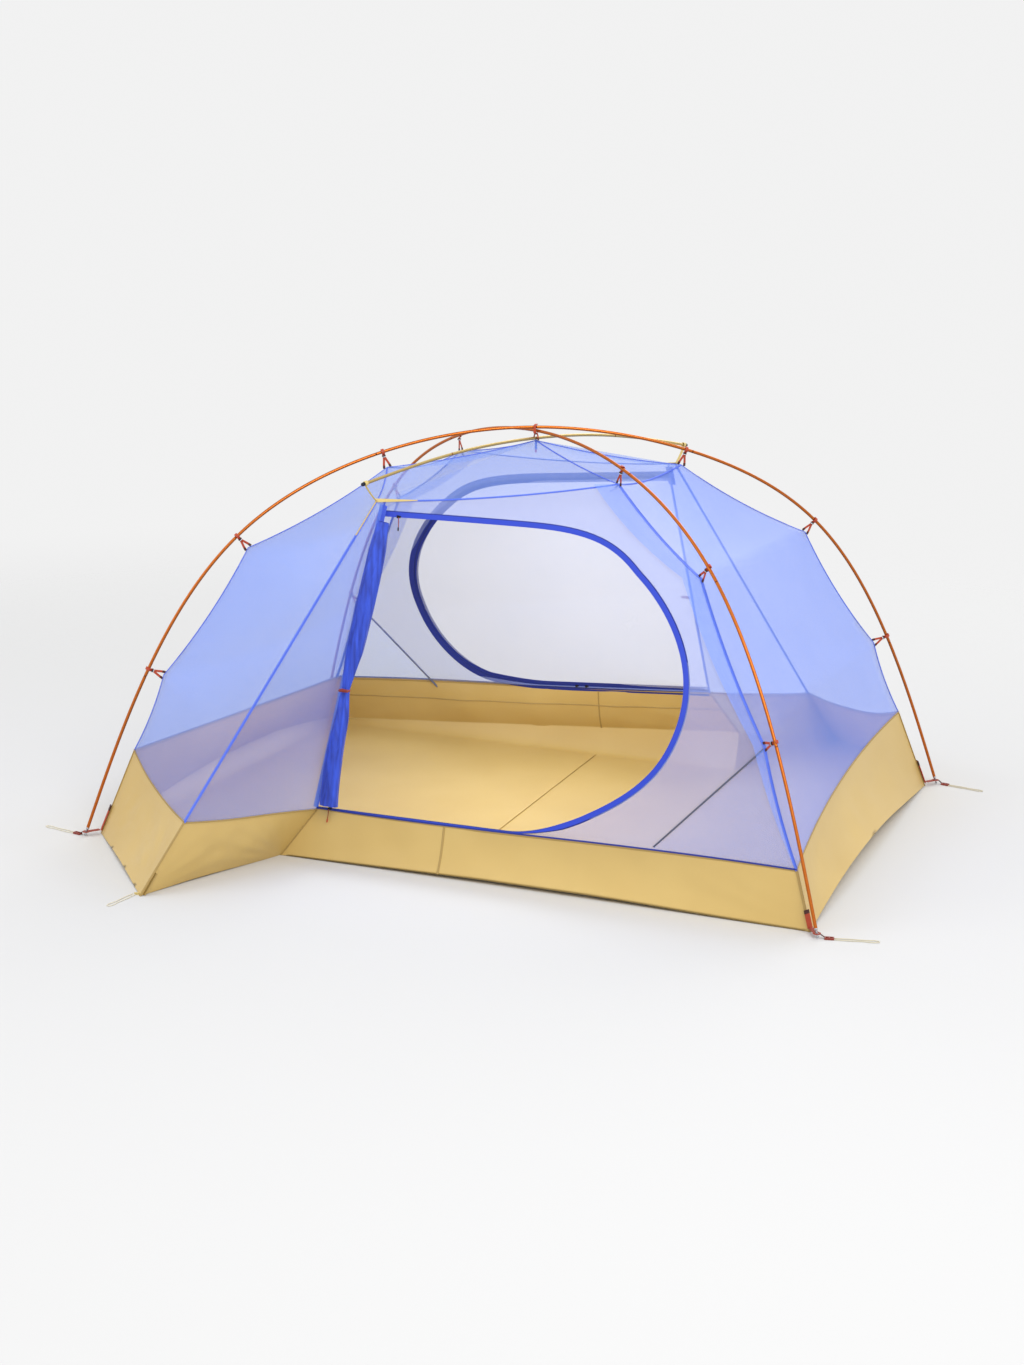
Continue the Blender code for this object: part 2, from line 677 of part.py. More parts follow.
def offset_outline(outline, distance):
    """The open outline moved outwards, away from the door's middle."""
    moved = []
    for i, (x, z) in enumerate(outline):
        before = outline[max(i - 1, 0)]
        after = outline[min(i + 1, len(outline) - 1)]
        tangent = Vector((after[0] - before[0], after[1] - before[1])).normalized()
        moved.append((x - tangent.y * distance, z + tangent.x * distance))
    return moved


def door_cutter(name, outline, distance, spill, shift, is_back):
    """A prism through the wall with the door's outline; spill carries it past the hinge."""
    ring = offset_outline(outline, distance)
    first = ring[0]
    last = ring[-1]
    ring = [(first[0] - spill, first[1]), *ring, (last[0] - spill, last[1])]
    prism = plate(name, ring, (), CUTTER_DEPTH, SHEER, CUTTERS)
    prism.matrix_world = Matrix.Translation(shift - BACKWARD * CUTTER_DEPTH) @ UPRIGHT
    if is_back:
        prism.matrix_world = HALF_TURN @ prism.matrix_world
    prism.hide_render = True
    prism.display_type = "WIRE"
    return prism


def cut(obj, cutter, operation):
    change = obj.modifiers.new(operation.lower(), "BOOLEAN")
    change.operation = operation
    change.object = cutter


def crisp(obj):
    """The cut object as a plain mesh, without the needle-thin triangles that cutting leaves."""
    made = meshed(obj)
    shell = bmesh.new()
    shell.from_mesh(made.data)
    bmesh.ops.remove_doubles(shell, verts=shell.verts, dist=CUT_MERGE)
    bmesh.ops.dissolve_limit(shell, angle_limit=CUT_FLAT, verts=shell.verts, edges=shell.edges)
    bmesh.ops.triangulate(shell, faces=shell.faces, quad_method="BEAUTY", ngon_method="BEAUTY")
    shell.to_mesh(made.data)
    shell.free()


def door_wall(side, notch_top, is_back):
    """The wall round one door; the back one also gets its closed door leaf."""
    outline = door_outline(notch_top)
    clear = ZIP_RADIUS + ZIP_GAP
    rows = door_wall_rows(notch_top)
    wall = cloth(f"door_wall_{side}", rows, MESH_CLOTH, is_back)
    hole = door_cutter(f"doorway_{side}", outline, clear, DOORWAY_SPILL, Vector(), is_back)
    drop = door_cutter(f"doorway_sill_{side}", outline, clear, DOORWAY_SPILL, DOORWAY_DROP, is_back)
    cut(wall, hole, "DIFFERENCE")
    cut(wall, drop, "DIFFERENCE")
    crisp(wall)
    if is_back:
        leaf = cloth("door_back", rows, DOOR_CLOTH, is_back, margin=DOOR_HINGE_GAP)
        cut(leaf, door_cutter("leaf_outline", outline, -clear, 0.0, Vector(), is_back), "INTERSECT")
        crisp(leaf)
    return outline


def zipper(side, outline, notch_top, is_back):
    """The zip in the gap round a door, as a bead; returns its centre line."""
    line = [Vector((x, wall_depth(notch_top, x, z) + CLOTH / 2.0, z)) for x, z in outline]
    points = [turned(point, is_back) for point in line]
    tube(f"zipper_{side}", points, ZIP_RADIUS, ZIP_TAPE)
    return points


def along_line(points, distance):
    """The point that far along a line of points from its first one, and the line's direction there."""
    for a, b in zip(points, points[1:]):
        span = (b - a).length
        if distance <= span:
            break
        distance -= span
    return between(a, b, distance / span), (b - a).normalized()


def slider(name, points, distance, outward):
    """A slider round the zip with a cord pull hanging from it."""
    centre, along = along_line(points, distance)
    half = SLIDER_HALF
    box = [(-half, -half), (half, -half), (half, half), (-half, half)]
    bore = arc((0.0, 0.0), ZIP_RADIUS + SLIDER_PLAY, 0.0, 330.0, 11)
    body = plate(name, box, (bore,), SLIDER_LENGTH, SLIDER_METAL)
    place(body, centre, outward.cross(along), along)
    start = centre + outward * (half - PULL_ROOT)
    path = [start, *(start + outward * out - UP * down for out, down in PULL_BEND)]
    path.append(path[-1] + (outward * PULL_LEAN - UP) * PULL_LENGTH)
    pull = meshed(tube("pull", path, PULL_RADIUS, WEBBING))
    join(body, [pull])
    body.data.materials.clear()
    body.data.materials.append(SLIDER_METAL)
    body.name = name


def rolled_door():
    """The open front door, rolled against its hinge and drawn in where its toggle holds it."""
    stretch = [(DOOR_TOP - ROLL_TOP_GAP, ROLL_TOP_RADIUS, 0.0), *ROLL_UPPER, ROLL_PINCH, *ROLL_LOWER]
    stretch.append((NOTCH_TOP.z + ROLL_FOOT_GAP, ROLL_FOOT_RADIUS, ROLL_FOOT_SHIFT))
    points = []
    for height, _, shift in stretch:
        hinge = at_height(NOTCH_TOP, HINGE_TOP, height)
        points.append(hinge + ROLL_OFFSET + Vector((shift, 0.0, 0.0)))
    path = spline_points(points, ROLL_SAMPLES)
    knots = [point.z for point in reversed(points)]
    sizes = [radius for _, radius, _ in reversed(stretch)]
    radii = [float(np.interp(point.z, knots, sizes)) for point in path]
    tube("door_front_rolled", path, ROLL_RADIUS, DOOR_CLOTH, resolution=3, radii=radii)


def toggle(name, centre, outward):
    """A toggle bar on a short stem."""
    bar_axis = UP.cross(outward).normalized()
    half = TOGGLE_LENGTH / 2.0
    shoulder = half - TOGGLE_TAPER
    path = [centre + bar_axis * along for along in (-half, -shoulder, 0.0, shoulder, half)]
    radii = [TOGGLE_RADIUS / 2.0, TOGGLE_RADIUS, TOGGLE_RADIUS, TOGGLE_RADIUS, TOGGLE_RADIUS / 2.0]
    bar = meshed(tube(name, path, TOGGLE_RADIUS, CLIP_PLASTIC, radii=radii))
    stem_path = [centre - outward * TOGGLE_STEM, centre]
    stem = meshed(tube("stem", stem_path, TOGGLE_STEM_RADIUS, CLIP_PLASTIC))
    join(bar, [stem])
    bar.name = name


def bathtub_wall(name, foot, top, is_back=False):
    """A stretch of the bathtub's wall, from its foot line to its top line."""
    middle = [between(a, b, 0.5) for a, b in zip(foot, top)]
    rows = [row_between(line, PANEL_STEPS) for line in (foot, middle, top)]
    cloth(name, rows, BATHTUB_CLOTH, is_back)


def floor_lift(x, y):
    """How far the floor stands off the ground, round the back door's foot."""
    notch = HALF_TURN @ BACK_NOTCH
    corner = Vector((FLOOR_CORNER.x, -FLOOR_CORNER.y, 0.0))
    peg = HALF_TURN @ SIDE_PEG
    pegged = Vector((-FLOOR_CORNER.x - peg.x, -FLOOR_CORNER.y - peg.y)).normalized()
    from_peg = Vector((x - peg.x, y - peg.y))
    clear = abs(pegged.x * from_peg.y - pegged.y * from_peg.x)
    free = min(clear / FLOOR_PEG_HOLD, 1.0) ** 2
    lift = 0.0
    for far in (corner, peg):
        run = Vector((far.x - notch.x, far.y - notch.y))
        here = Vector((x - notch.x, y - notch.y))
        share = min(max(here.dot(run) / run.length_squared, 0.0), 1.0)
        gap = (here - run * share).length
        fade = max(0.0, 1.0 - gap / FLOOR_LIFT_REACH)
        lift = max(lift, notch.z * (1.0 - share) * fade * fade * free)
    return lift


def edge_depth(edge, x, margin):
    """The y of a floor edge at x, drawn in by a margin square to the steeper stretch beside x."""
    steepest = 0.0
    for a, b in zip(edge, edge[1:]):
        if a.x - abs(margin) <= x <= b.x + abs(margin):
            steepest = max(steepest, abs((b.y - a.y) / (b.x - a.x)))
    return np.interp(x, [p.x for p in edge], [p.y for p in edge]) + margin * math.hypot(1.0, steepest)


def bathtub_floor():
    front = [FLOOR_CORNER, SIDE_PEG, NOTCH, Vector((-FLOOR_CORNER.x, FLOOR_CORNER.y, 0.0))]
    back_notch = HALF_TURN @ BACK_NOTCH
    back = [Vector((FLOOR_CORNER.x, -FLOOR_CORNER.y, 0.0)), back_notch, HALF_TURN @ SIDE_PEG]
    back.append(Vector((-FLOOR_CORNER.x, -FLOOR_CORNER.y, 0.0)))
    rows = []
    for x in sorted({round(p.x, 4) for p in front + back} | set(FLOOR_RIBS)):
        x = min(max(x, FLOOR_CORNER.x + SEAM), -FLOOR_CORNER.x - SEAM)
        low = edge_depth(front, x, SEAM)
        high = edge_depth(back, x, -SEAM)
        ys = [low + (high - low) * share for share in FLOOR_SHARES]
        rows.append([Vector((x, y, floor_lift(x, y))) for y in ys])
    vertices, faces = grid(rows)
    faces = [tuple(reversed(face)) for face in faces]
    made = mesh_object("bathtub_floor", vertices, faces, BATHTUB_CLOTH)
    skin = made.modifiers.new("cloth", "SOLIDIFY")
    skin.thickness = CLOTH
    skin.offset = 1.0


def loop_path(root, heading, reach, spread):
    """A flat loop of cord on the ground, out from its root and back."""
    side = Vector((-heading.y, heading.x, 0.0)) * (spread / 2.0)
    near = root + UP * CORD_RADIUS
    return [near + heading * (reach * along) + side * across for along, across in LOOP_ROUTE]


def ground_fittings(name, foot, pole_end, corner, heading):
    """At one pole foot: the webbing ring the tip stands in, the buckle, and its peg loop."""
    ring_centre = at_height(foot, pole_end, CORNER_PLATE_HEIGHT)
    flat_centre = Vector((ring_centre.x, ring_centre.y, 0.0))
    inward = (corner - flat_centre).normalized()
    half = CORNER_TONGUE / 2.0
    length = (corner - flat_centre).length - CORNER_TONGUE_GAP
    turn = math.degrees(math.asin(half / CORNER_RING_RADIUS))
    outline = arc((0.0, 0.0), CORNER_RING_RADIUS, turn, 360.0 - turn, 18)
    outline += [(length, -half), (length, half)]
    hole = arc((0.0, 0.0), CORNER_RING_HOLE, 0.0, 337.5, 15)
    strap = plate(f"corner_strap_{name}", outline, (hole,), STRAP_PLATE, WEBBING)
    place(strap, ring_centre, inward, UP)
    start = Vector((foot.x, foot.y, 0.0)) + heading * BUCKLE_START
    frame = rectangle(0.0, BUCKLE_LENGTH, BUCKLE_WIDTH / 2.0)
    pitch = (BUCKLE_LENGTH - BUCKLE_BAR) / BUCKLE_WINDOWS
    windows = []
    for i in range(BUCKLE_WINDOWS):
        low = BUCKLE_BAR + pitch * i
        windows.append(rectangle(low, low + pitch - BUCKLE_BAR, BUCKLE_WIDTH / 2.0 - BUCKLE_RAIL))
    buckle = plate(f"buckle_{name}", frame, windows, BUCKLE_HEIGHT, CLIP_PLASTIC)
    place(buckle, start + UP * (BUCKLE_HEIGHT / 2.0), heading, UP)
    root = start + heading * (BUCKLE_LENGTH + CORD_GAP)
    path = spline_points(loop_path(root, heading, GUY_REACH - BUCKLE_LENGTH, GUY_SPREAD), CORD_SAMPLES)
    tube(f"peg_cord_{name}", path, CORD_RADIUS, CORD_PALE)


def side_peg_loop(name, is_back):
    heading = PEG_LOOP_HEADING.normalized()
    root = SIDE_PEG + PEG_LOOP_ROOT
    path = spline_points(loop_path(root, heading, PEG_LOOP_REACH, GUY_SPREAD), CORD_SAMPLES)
    tube(name, [turned(point, is_back) for point in path], CORD_RADIUS, CORD_PALE)


def build_frame():
    for letter, path in (("a", PATH_A), ("b", PATH_B)):
        points = shock_corded_pole(letter, path)
        front, back = ("front_left", "back_right") if letter == "a" else ("front_right", "back_left")
        pole_tip(f"pole_tip_{front}", points[0], points[1])
        pole_tip(f"pole_tip_{back}", points[-1], points[-2])
    ridge = ridge_pole()
    ridge_tab("ridge_tab_front", ridge, False)
    ridge_tab("ridge_tab_back", ridge, True)
    hook = clip_mesh()
    clips("a", FRAMES_A, hook)
    clips("b", FRAMES_B, hook)
    apex_clip()


def build_bathtub():
    right_corner = Vector((-FLOOR_CORNER.x, FLOOR_CORNER.y, 0.0))
    bathtub_floor()
    front_foot = [FLOOR_CORNER, SIDE_PEG, NOTCH, right_corner]
    front_top = [BATHTUB_A, SIDE_TOP, NOTCH_TOP, BATHTUB_B]
    back_foot = [FLOOR_CORNER, SIDE_PEG, BACK_NOTCH, right_corner]
    back_top = [BATHTUB_A, SIDE_TOP, BACK_NOTCH_TOP, BATHTUB_B]
    bathtub_wall("bathtub_wall_front", front_foot, front_top)
    bathtub_wall("bathtub_wall_back", back_foot, back_top, is_back=True)
    end_foot = [right_corner, HALF_TURN @ FLOOR_CORNER]
    end_top = [BATHTUB_B, HALF_TURN @ BATHTUB_A]
    bathtub_wall("bathtub_wall_right", end_foot, end_top)
    bathtub_wall("bathtub_wall_left", end_foot, end_top, is_back=True)


def build_canopy():
    roof()
    end_panel("end_panel_right", False)
    end_panel("end_panel_left", True)
    side_panel("side_panel_front", NOTCH_TOP, False)
    side_panel("side_panel_back", BACK_NOTCH_TOP, True)


def build_doors():
    front = zipper("front", door_wall("front", NOTCH_TOP, False), NOTCH_TOP, False)
    back = zipper("back", door_wall("back", BACK_NOTCH_TOP, True), BACK_NOTCH_TOP, True)
    rolled_door()
    front_foot_up = front[::-1]
    back_foot_up = back[::-1]
    slider("slider_front_top", front, SLIDER_FRONT_TOP, -BACKWARD)
    slider("slider_front_sill", front_foot_up, SLIDER_FRONT_SILL, -BACKWARD)
    slider("slider_back_right", back_foot_up, SLIDER_BACK_RIGHT, BACKWARD)
    slider("slider_back_left", back_foot_up, SLIDER_BACK_LEFT, BACKWARD)
    pinch_height, pinch_radius, _ = ROLL_PINCH
    pinch = at_height(NOTCH_TOP, HINGE_TOP, pinch_height) + ROLL_OFFSET
    toggle("toggle_front", pinch - BACKWARD * (pinch_radius + TOGGLE_REACH), -BACKWARD)
    back_hinge = HALF_TURN @ at_height(BACK_NOTCH_TOP, HINGE_TOP, BACK_TOGGLE_HEIGHT)
    toggle("toggle_back", back_hinge + BACK_TOGGLE_OFFSET, BACKWARD)


def build_ground_fittings():
    feet = {"front_left": (-1.0, -1.0), "front_right": (1.0, -1.0)}
    feet.update({"back_right": (1.0, 1.0), "back_left": (-1.0, 1.0)})
    for name, (sx, sy) in feet.items():
        foot = Vector((sx * FOOT_X, sy * FOOT_Y, 0.0))
        corner = Vector((-sx * FLOOR_CORNER.x, -sy * FLOOR_CORNER.y, 0.0))
        heading = Vector((sx * GUY_HEADING.x, sy * GUY_HEADING.y, 0.0)).normalized()
        path = PATH_A if sx * sy > 0.0 else PATH_B
        pole_end = path[0] if sy < 0.0 else path[-1]
        ground_fittings(name, foot, pole_end, corner, heading)
    side_peg_loop("peg_loop_front", False)
    side_peg_loop("peg_loop_back", True)


build_frame()
build_bathtub()
build_canopy()
build_doors()
build_ground_fittings()
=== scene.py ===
import json
import math

import bmesh
import bpy
import numpy as np
from mathutils import Matrix, Vector, noise


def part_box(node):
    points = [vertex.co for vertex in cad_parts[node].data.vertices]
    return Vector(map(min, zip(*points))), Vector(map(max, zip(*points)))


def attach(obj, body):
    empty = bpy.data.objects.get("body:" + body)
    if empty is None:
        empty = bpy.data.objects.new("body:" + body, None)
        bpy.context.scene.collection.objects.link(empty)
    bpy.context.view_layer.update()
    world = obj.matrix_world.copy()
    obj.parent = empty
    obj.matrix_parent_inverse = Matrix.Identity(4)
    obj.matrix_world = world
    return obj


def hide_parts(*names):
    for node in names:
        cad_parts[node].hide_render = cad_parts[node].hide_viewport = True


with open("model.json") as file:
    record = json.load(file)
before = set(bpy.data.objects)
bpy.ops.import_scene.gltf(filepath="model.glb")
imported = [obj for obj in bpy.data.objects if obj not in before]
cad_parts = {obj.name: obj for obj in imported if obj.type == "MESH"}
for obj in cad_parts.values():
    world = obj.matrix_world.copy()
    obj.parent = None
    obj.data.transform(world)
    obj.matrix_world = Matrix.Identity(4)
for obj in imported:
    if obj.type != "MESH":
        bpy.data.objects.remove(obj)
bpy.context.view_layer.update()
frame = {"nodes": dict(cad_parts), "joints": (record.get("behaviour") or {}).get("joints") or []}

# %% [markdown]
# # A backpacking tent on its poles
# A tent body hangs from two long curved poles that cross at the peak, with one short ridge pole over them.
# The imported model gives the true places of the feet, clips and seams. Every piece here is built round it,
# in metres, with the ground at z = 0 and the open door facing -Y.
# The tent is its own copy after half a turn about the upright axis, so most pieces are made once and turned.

UP = Vector((0.0, 0.0, 1.0))
HALF_TURN = Matrix.Rotation(math.pi, 4, "Z")
JOINTS = {joint["name"]: joint for joint in frame["joints"]}
bpy.context.scene.view_settings.view_transform = "Standard"

# %% [markdown]
# ## The camera
# It stands a little above a person's eye height, to the right of the open door, with a long lens.
# A long lens keeps the poles' curves true, and no depth of field keeps every seam sharp.

# %% The camera
eye = bpy.data.cameras.new("camera")
eye.lens = 58.007
eye.sensor_fit = "AUTO"
eye.sensor_width = 36.0
eye.clip_end = 200.0
camera = bpy.data.objects.new("camera", eye)
bpy.context.scene.collection.objects.link(camera)
yaw, pitch, roll = math.radians(21.486), math.radians(13.436), math.radians(0.667)
ahead = Vector((-math.sin(yaw) * math.cos(pitch), math.cos(yaw) * math.cos(pitch), -math.sin(pitch)))
level = Vector((math.cos(yaw), math.sin(yaw), 0.0))
lift = level.cross(ahead)
right = level * math.cos(roll) + lift * math.sin(roll)
above = lift * math.cos(roll) - level * math.sin(roll)
turn = Matrix((right, above, -ahead)).transposed().to_4x4()
camera.matrix_world = Matrix.Translation((2.2511, -5.885, 1.8907)) @ turn
bpy.context.scene.camera = camera
print("camera at", tuple(round(c, 2) for c in camera.location))

# %% [markdown]
# ## Curves and shapes
# Poles, seams, tapes and cords all follow smooth lines, so three helpers do most of the work:
# a natural cubic that passes through a few points, a frame that is carried along a line, and a
# profile swept along it. A Shape gathers swept pieces until they become one object.

# %% Smooth lines
def spline(stations, samples):
    """Points along the natural cubic through the stations, by chord length."""
    p = np.array([tuple(s) for s in stations], float)
    spans = np.linalg.norm(np.diff(p, axis=0), axis=1)
    knots = np.concatenate(([0.0], np.cumsum(spans)))
    count = len(p)
    system, pull = np.eye(count), np.zeros_like(p)
    for i in range(1, count - 1):
        system[i, i - 1:i + 2] = spans[i - 1], 2.0 * (spans[i - 1] + spans[i]), spans[i]
        pull[i] = 6.0 * ((p[i + 1] - p[i]) / spans[i] - (p[i] - p[i - 1]) / spans[i - 1])
    bend = np.linalg.solve(system, pull)
    line = []
    for s in np.linspace(0.0, knots[-1], samples):
        i = int(np.clip(np.searchsorted(knots, s, side="right") - 1, 0, count - 2))
        a, b = (knots[i + 1] - s) / spans[i], (s - knots[i]) / spans[i]
        curve = ((a ** 3 - a) * bend[i] + (b ** 3 - b) * bend[i + 1]) * spans[i] ** 2 / 6.0
        line.append(Vector(a * p[i] + b * p[i + 1] + curve))
    return line


def lengths(points):
    """The distance along a line at each of its points."""
    steps = [(b - a).length for a, b in zip(points, points[1:])]
    return np.concatenate(([0.0], np.cumsum(steps)))


def spaced(points, count):
    """That many points, evenly along a line."""
    far = lengths(points)
    p = np.array([tuple(point) for point in points])
    at = np.linspace(0.0, far[-1], count)
    return [Vector(row) for row in np.stack([np.interp(at, far, p[:, k]) for k in range(3)], axis=1)]


def at_height(low, high, z):
    return low.lerp(high, (z - low.z) / (high.z - low.z))


def tangents(points):
    ends = [points[0], *points, points[-1]]
    return [(ends[i + 2] - ends[i]).normalized() for i in range(len(points))]


def carried_sides(points, first):
    """A direction square to the line, carried along it without twisting."""
    sides, side = [], first
    for t in tangents(points):
        side = (side - t * side.dot(t)).normalized()
        sides.append(side)
    return sides


print("a spline through 3 points:", len(spline([(0, 0, 0), (1, 0, 1), (2, 0, 0)], 9)), "points")

# %% Shapes
class Shape:
    """Vertices, faces and cloth coordinates of one object in the making."""

    def __init__(self):
        self.vertices, self.faces, self.coordinates, self.slots = [], [], [], []

    def add(self, vertices, faces, coordinates, slot=0):
        base = len(self.vertices)
        self.vertices += [tuple(v) for v in vertices]
        self.coordinates += [tuple(c) for c in coordinates]
        self.faces += [tuple(base + i for i in face) for face in faces]
        self.slots += [slot] * len(faces)

    def grid(self, rows, slot=0):
        """A sheet through rows of points, its cloth coordinates in metres."""
        p = np.array([[tuple(point) for point in row] for row in rows])
        n, m = p.shape[:2]
        across = np.concatenate((np.zeros((n, 1)), np.cumsum(np.linalg.norm(np.diff(p, axis=1), axis=2), axis=1)), axis=1)
        down = np.concatenate((np.zeros((1, m)), np.cumsum(np.linalg.norm(np.diff(p, axis=0), axis=2), axis=0)), axis=0)
        faces = [(i * m + j, i * m + j + 1, (i + 1) * m + j + 1, (i + 1) * m + j) for i in range(n - 1) for j in range(m - 1)]
        self.add(p.reshape(-1, 3), faces, zip(across.ravel(), down.ravel()), slot)

    def sweep(self, points, sides, profile, slot=0, scales=None, ups=None):
        """A closed profile of (side, up) offsets carried along a line, with closed ends."""
        ts = tangents(points)
        ups = ups or [t.cross(s).normalized() for t, s in zip(ts, sides)]
        scales = scales or [1.0] * len(points)
        far, count = lengths(points), len(profile)
        vertices, coordinates = [], []
        for point, side, up, scale, s in zip(points, sides, ups, scales, far):
            for k, (a, b) in enumerate(profile):
                vertices.append(point + side * (a * scale) + up * (b * scale))
                coordinates.append((a * scale, s))
        faces = []
        for i in range(len(points) - 1):
            for k in range(count):
                n = (k + 1) % count
                faces.append((i * count + k, i * count + n, (i + 1) * count + n, (i + 1) * count + k))
        last = (len(points) - 1) * count
        faces.append(tuple(reversed(range(count))))
        faces.append(tuple(range(last, last + count)))
        self.add(vertices, faces, coordinates, slot)

    def tube(self, points, radius, slot=0, sides=12, radii=None):
        first = tangents(points)[0].orthogonal()
        ring = [(math.cos(2 * math.pi * k / sides), math.sin(2 * math.pi * k / sides)) for k in range(sides)]
        self.sweep(points, carried_sides(points, first), ring, slot, radii or [radius] * len(points))

    def made(self, name, finishes, body="tent", slot=None, merge=0.0, smooth=True, flat_angle=40.0):
        """The finished object, riding on its body."""
        data = bpy.data.meshes.new(name)
        data.from_pydata(self.vertices, [], self.faces)
        layer = data.uv_layers.new(name="cloth")
        for loop in data.loops:
            layer.data[loop.index].uv = self.coordinates[loop.vertex_index]
        for face, index in zip(data.polygons, self.slots):
            face.material_index = index
        for finish in finishes:
            data.materials.append(finish)
        if merge:
            shell = bmesh.new()
            shell.from_mesh(data)
            bmesh.ops.remove_doubles(shell, verts=shell.verts, dist=merge)
            shell.to_mesh(data)
            shell.free()
        if smooth:
            data.shade_smooth()
            data.set_sharp_from_angle(angle=math.radians(flat_angle))
        made = bpy.data.objects.new(name, data)
        bpy.context.scene.collection.objects.link(made)
        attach(made, body)
        return made


def band(width, thickness):
    """The profile of a tape that lies flat, its edges slightly rounded."""
    a, b, c = width / 2.0, thickness / 2.0, min(width, thickness) * 0.3
    return [(-a, -b + c), (-a + c, -b), (a - c, -b), (a, -b + c), (a, b - c), (a - c, b), (-a + c, b), (-a, b - c)]


print("an 8 mm tape has", len(band(0.008, 0.001)), "corners in its profile")

# %% [markdown]
# ## Finishes
# Each finish starts from the real stuff: sheer uncoated nylon, fine insect mesh, silicone-coated nylon,
# anodised aluminium, moulded acetal and woven webbing. One function turns a colour from its sRGB code to
# the linear values that the renderer wants, and one adds a node with its settings and links.

# %% Colour and node helpers
def linear(code):
    parts = [int(code[i:i + 2], 16) / 255.0 for i in (0, 2, 4)]
    return [c / 12.92 if c <= 0.04045 else ((c + 0.055) / 1.055) ** 2.4 for c in parts] + [1.0]


def add(tree, kind, inputs=(), **settings):
    made = tree.nodes.new(kind)
    for name, value in settings.items():
        setattr(made, name, value)
    for name, value in dict(inputs).items():
        if isinstance(value, bpy.types.NodeSocket):
            tree.links.new(value, made.inputs[name])
        else:
            made.inputs[name].default_value = value
    return made


def new_finish(name, colour, roughness, sockets=()):
    made = bpy.data.materials.new(name)
    made.use_nodes = True
    shader = made.node_tree.nodes["Principled BSDF"]
    shader.inputs["Base Color"].default_value = linear(colour)
    shader.inputs["Roughness"].default_value = roughness
    for socket, value in dict(sockets).items():
        shader.inputs[socket].default_value = value
    return made, made.node_tree, shader


print("royal blue is", [round(c, 3) for c in linear("3F66E0")])

# %% [markdown]
# ### Cloth
# Cloth is two sets of threads at right angles. Two band patterns on the cloth's own coordinates, in
# metres, make the weave; a slow noise makes the cloth thicker here and thinner there. Real threads lie
# about 0.3 mm apart, too fine to show, so they are drawn 1.5 mm apart. What lets light through is the
# cloth's openness, so it is the alpha that changes with the weave, not a painted colour.

# %% Woven cloth
WAVE_PERIOD = 2.0 * math.pi / 20.0  # one band at scale 1


def woven(name, colour, shade, roughness, cover, thread, bump, sockets=()):
    made, tree, shader = new_finish(name, colour, roughness, sockets)
    here = add(tree, "ShaderNodeTexCoord")
    scale = WAVE_PERIOD / thread
    warp = add(tree, "ShaderNodeTexWave", {"Vector": here.outputs["UV"], "Scale": scale}, bands_direction="X")
    weft = add(tree, "ShaderNodeTexWave", {"Vector": here.outputs["UV"], "Scale": scale}, bands_direction="Y")
    weave = add(tree, "ShaderNodeMath", {0: warp.outputs["Fac"], 1: weft.outputs["Fac"]}, operation="MULTIPLY")
    slow = add(tree, "ShaderNodeTexNoise", {"Vector": here.outputs["Object"], "Scale": 3.5, "Detail": 4.0})
    tone = add(tree, "ShaderNodeMapRange", {"Value": slow.outputs["Fac"], "From Min": 0.3, "From Max": 0.7})
    mixed = add(tree, "ShaderNodeMix", {0: tone.outputs[0], 6: linear(shade), 7: linear(colour)}, data_type="RGBA")
    tree.links.new(mixed.outputs[2], shader.inputs["Base Color"])
    height = add(tree, "ShaderNodeBump", {"Height": weave.outputs[0], "Strength": bump, "Distance": 0.0004})
    tree.links.new(height.outputs["Normal"], shader.inputs["Normal"])
    if cover < 1.0:
        open_cloth = add(tree, "ShaderNodeMapRange", {"Value": weave.outputs[0], "To Min": cover + 0.04, "To Max": cover - 0.04})
        tree.links.new(open_cloth.outputs[0], shader.inputs["Alpha"])
    return made


SHEER = woven("sheer_nylon_blue", "7AA0FF", "6E98FC", 0.55, 0.40, 0.0015, 0.25, {"Sheen Weight": 0.2})
MESH = woven("insect_mesh_lavender", "98A9EA", "8EA0E6", 0.65, 0.46, 0.0018, 0.3)
LEAF = woven("insect_mesh_pale", "CCD4F6", "C2CCF3", 0.65, 0.40, 0.0018, 0.3)
ROYAL = woven("brushed_nylon_royal_blue", "2F57E0", "2446C8", 0.6, 1.0, 0.0015, 0.3, {"Sheen Weight": 0.35})
TUB = woven("silicone_coated_nylon_sand", "CDAF6A", "C6A762", 0.42, 1.0, 0.0016, 0.22, {"Coat Weight": 0.12, "Coat Roughness": 0.35})
SEAM_BLUE = woven("bound_seam_blue", "5674E4", "4A68DC", 0.6, 1.0, 0.0012, 0.3)
BAND_BLUE = woven("folded_sheer_band_blue", "6F93FA", "6488F4", 0.6, 0.8, 0.0014, 0.3)
SEAM_GREY = woven("bound_seam_grey", "62667A", "565A6E", 0.6, 1.0, 0.0012, 0.3)
SEAM_SAND = woven("bound_seam_sand", "AE9154", "A3874C", 0.6, 1.0, 0.0012, 0.3)
SHEER_END = woven("sheer_nylon_blue_end", "7A9CFF", "6E94FC", 0.55, 0.53, 0.0015, 0.25, {"Sheen Weight": 0.2})
TAPE_BLUE = woven("zip_tape_royal", "2342C6", "1D3AB8", 0.62, 1.0, 0.0010, 0.35)
TAPE_NAVY = woven("zip_flap_navy", "1B3296", "172B86", 0.62, 1.0, 0.0010, 0.35)
RUST_WEB = woven("webbing_rust", "B8431C", "A63A17", 0.6, 1.0, 0.0010, 0.5)
SAND_WEB = woven("webbing_sand", "D9C27C", "CDB56E", 0.6, 1.0, 0.0010, 0.5)
CORD = woven("braided_cord_pale", "E2DCC8", "CFC7AE", 0.6, 1.0, 0.0014, 0.6)
CORD_RUST = woven("braided_cord_rust", "A23E1E", "8C3216", 0.6, 1.0, 0.0012, 0.6)
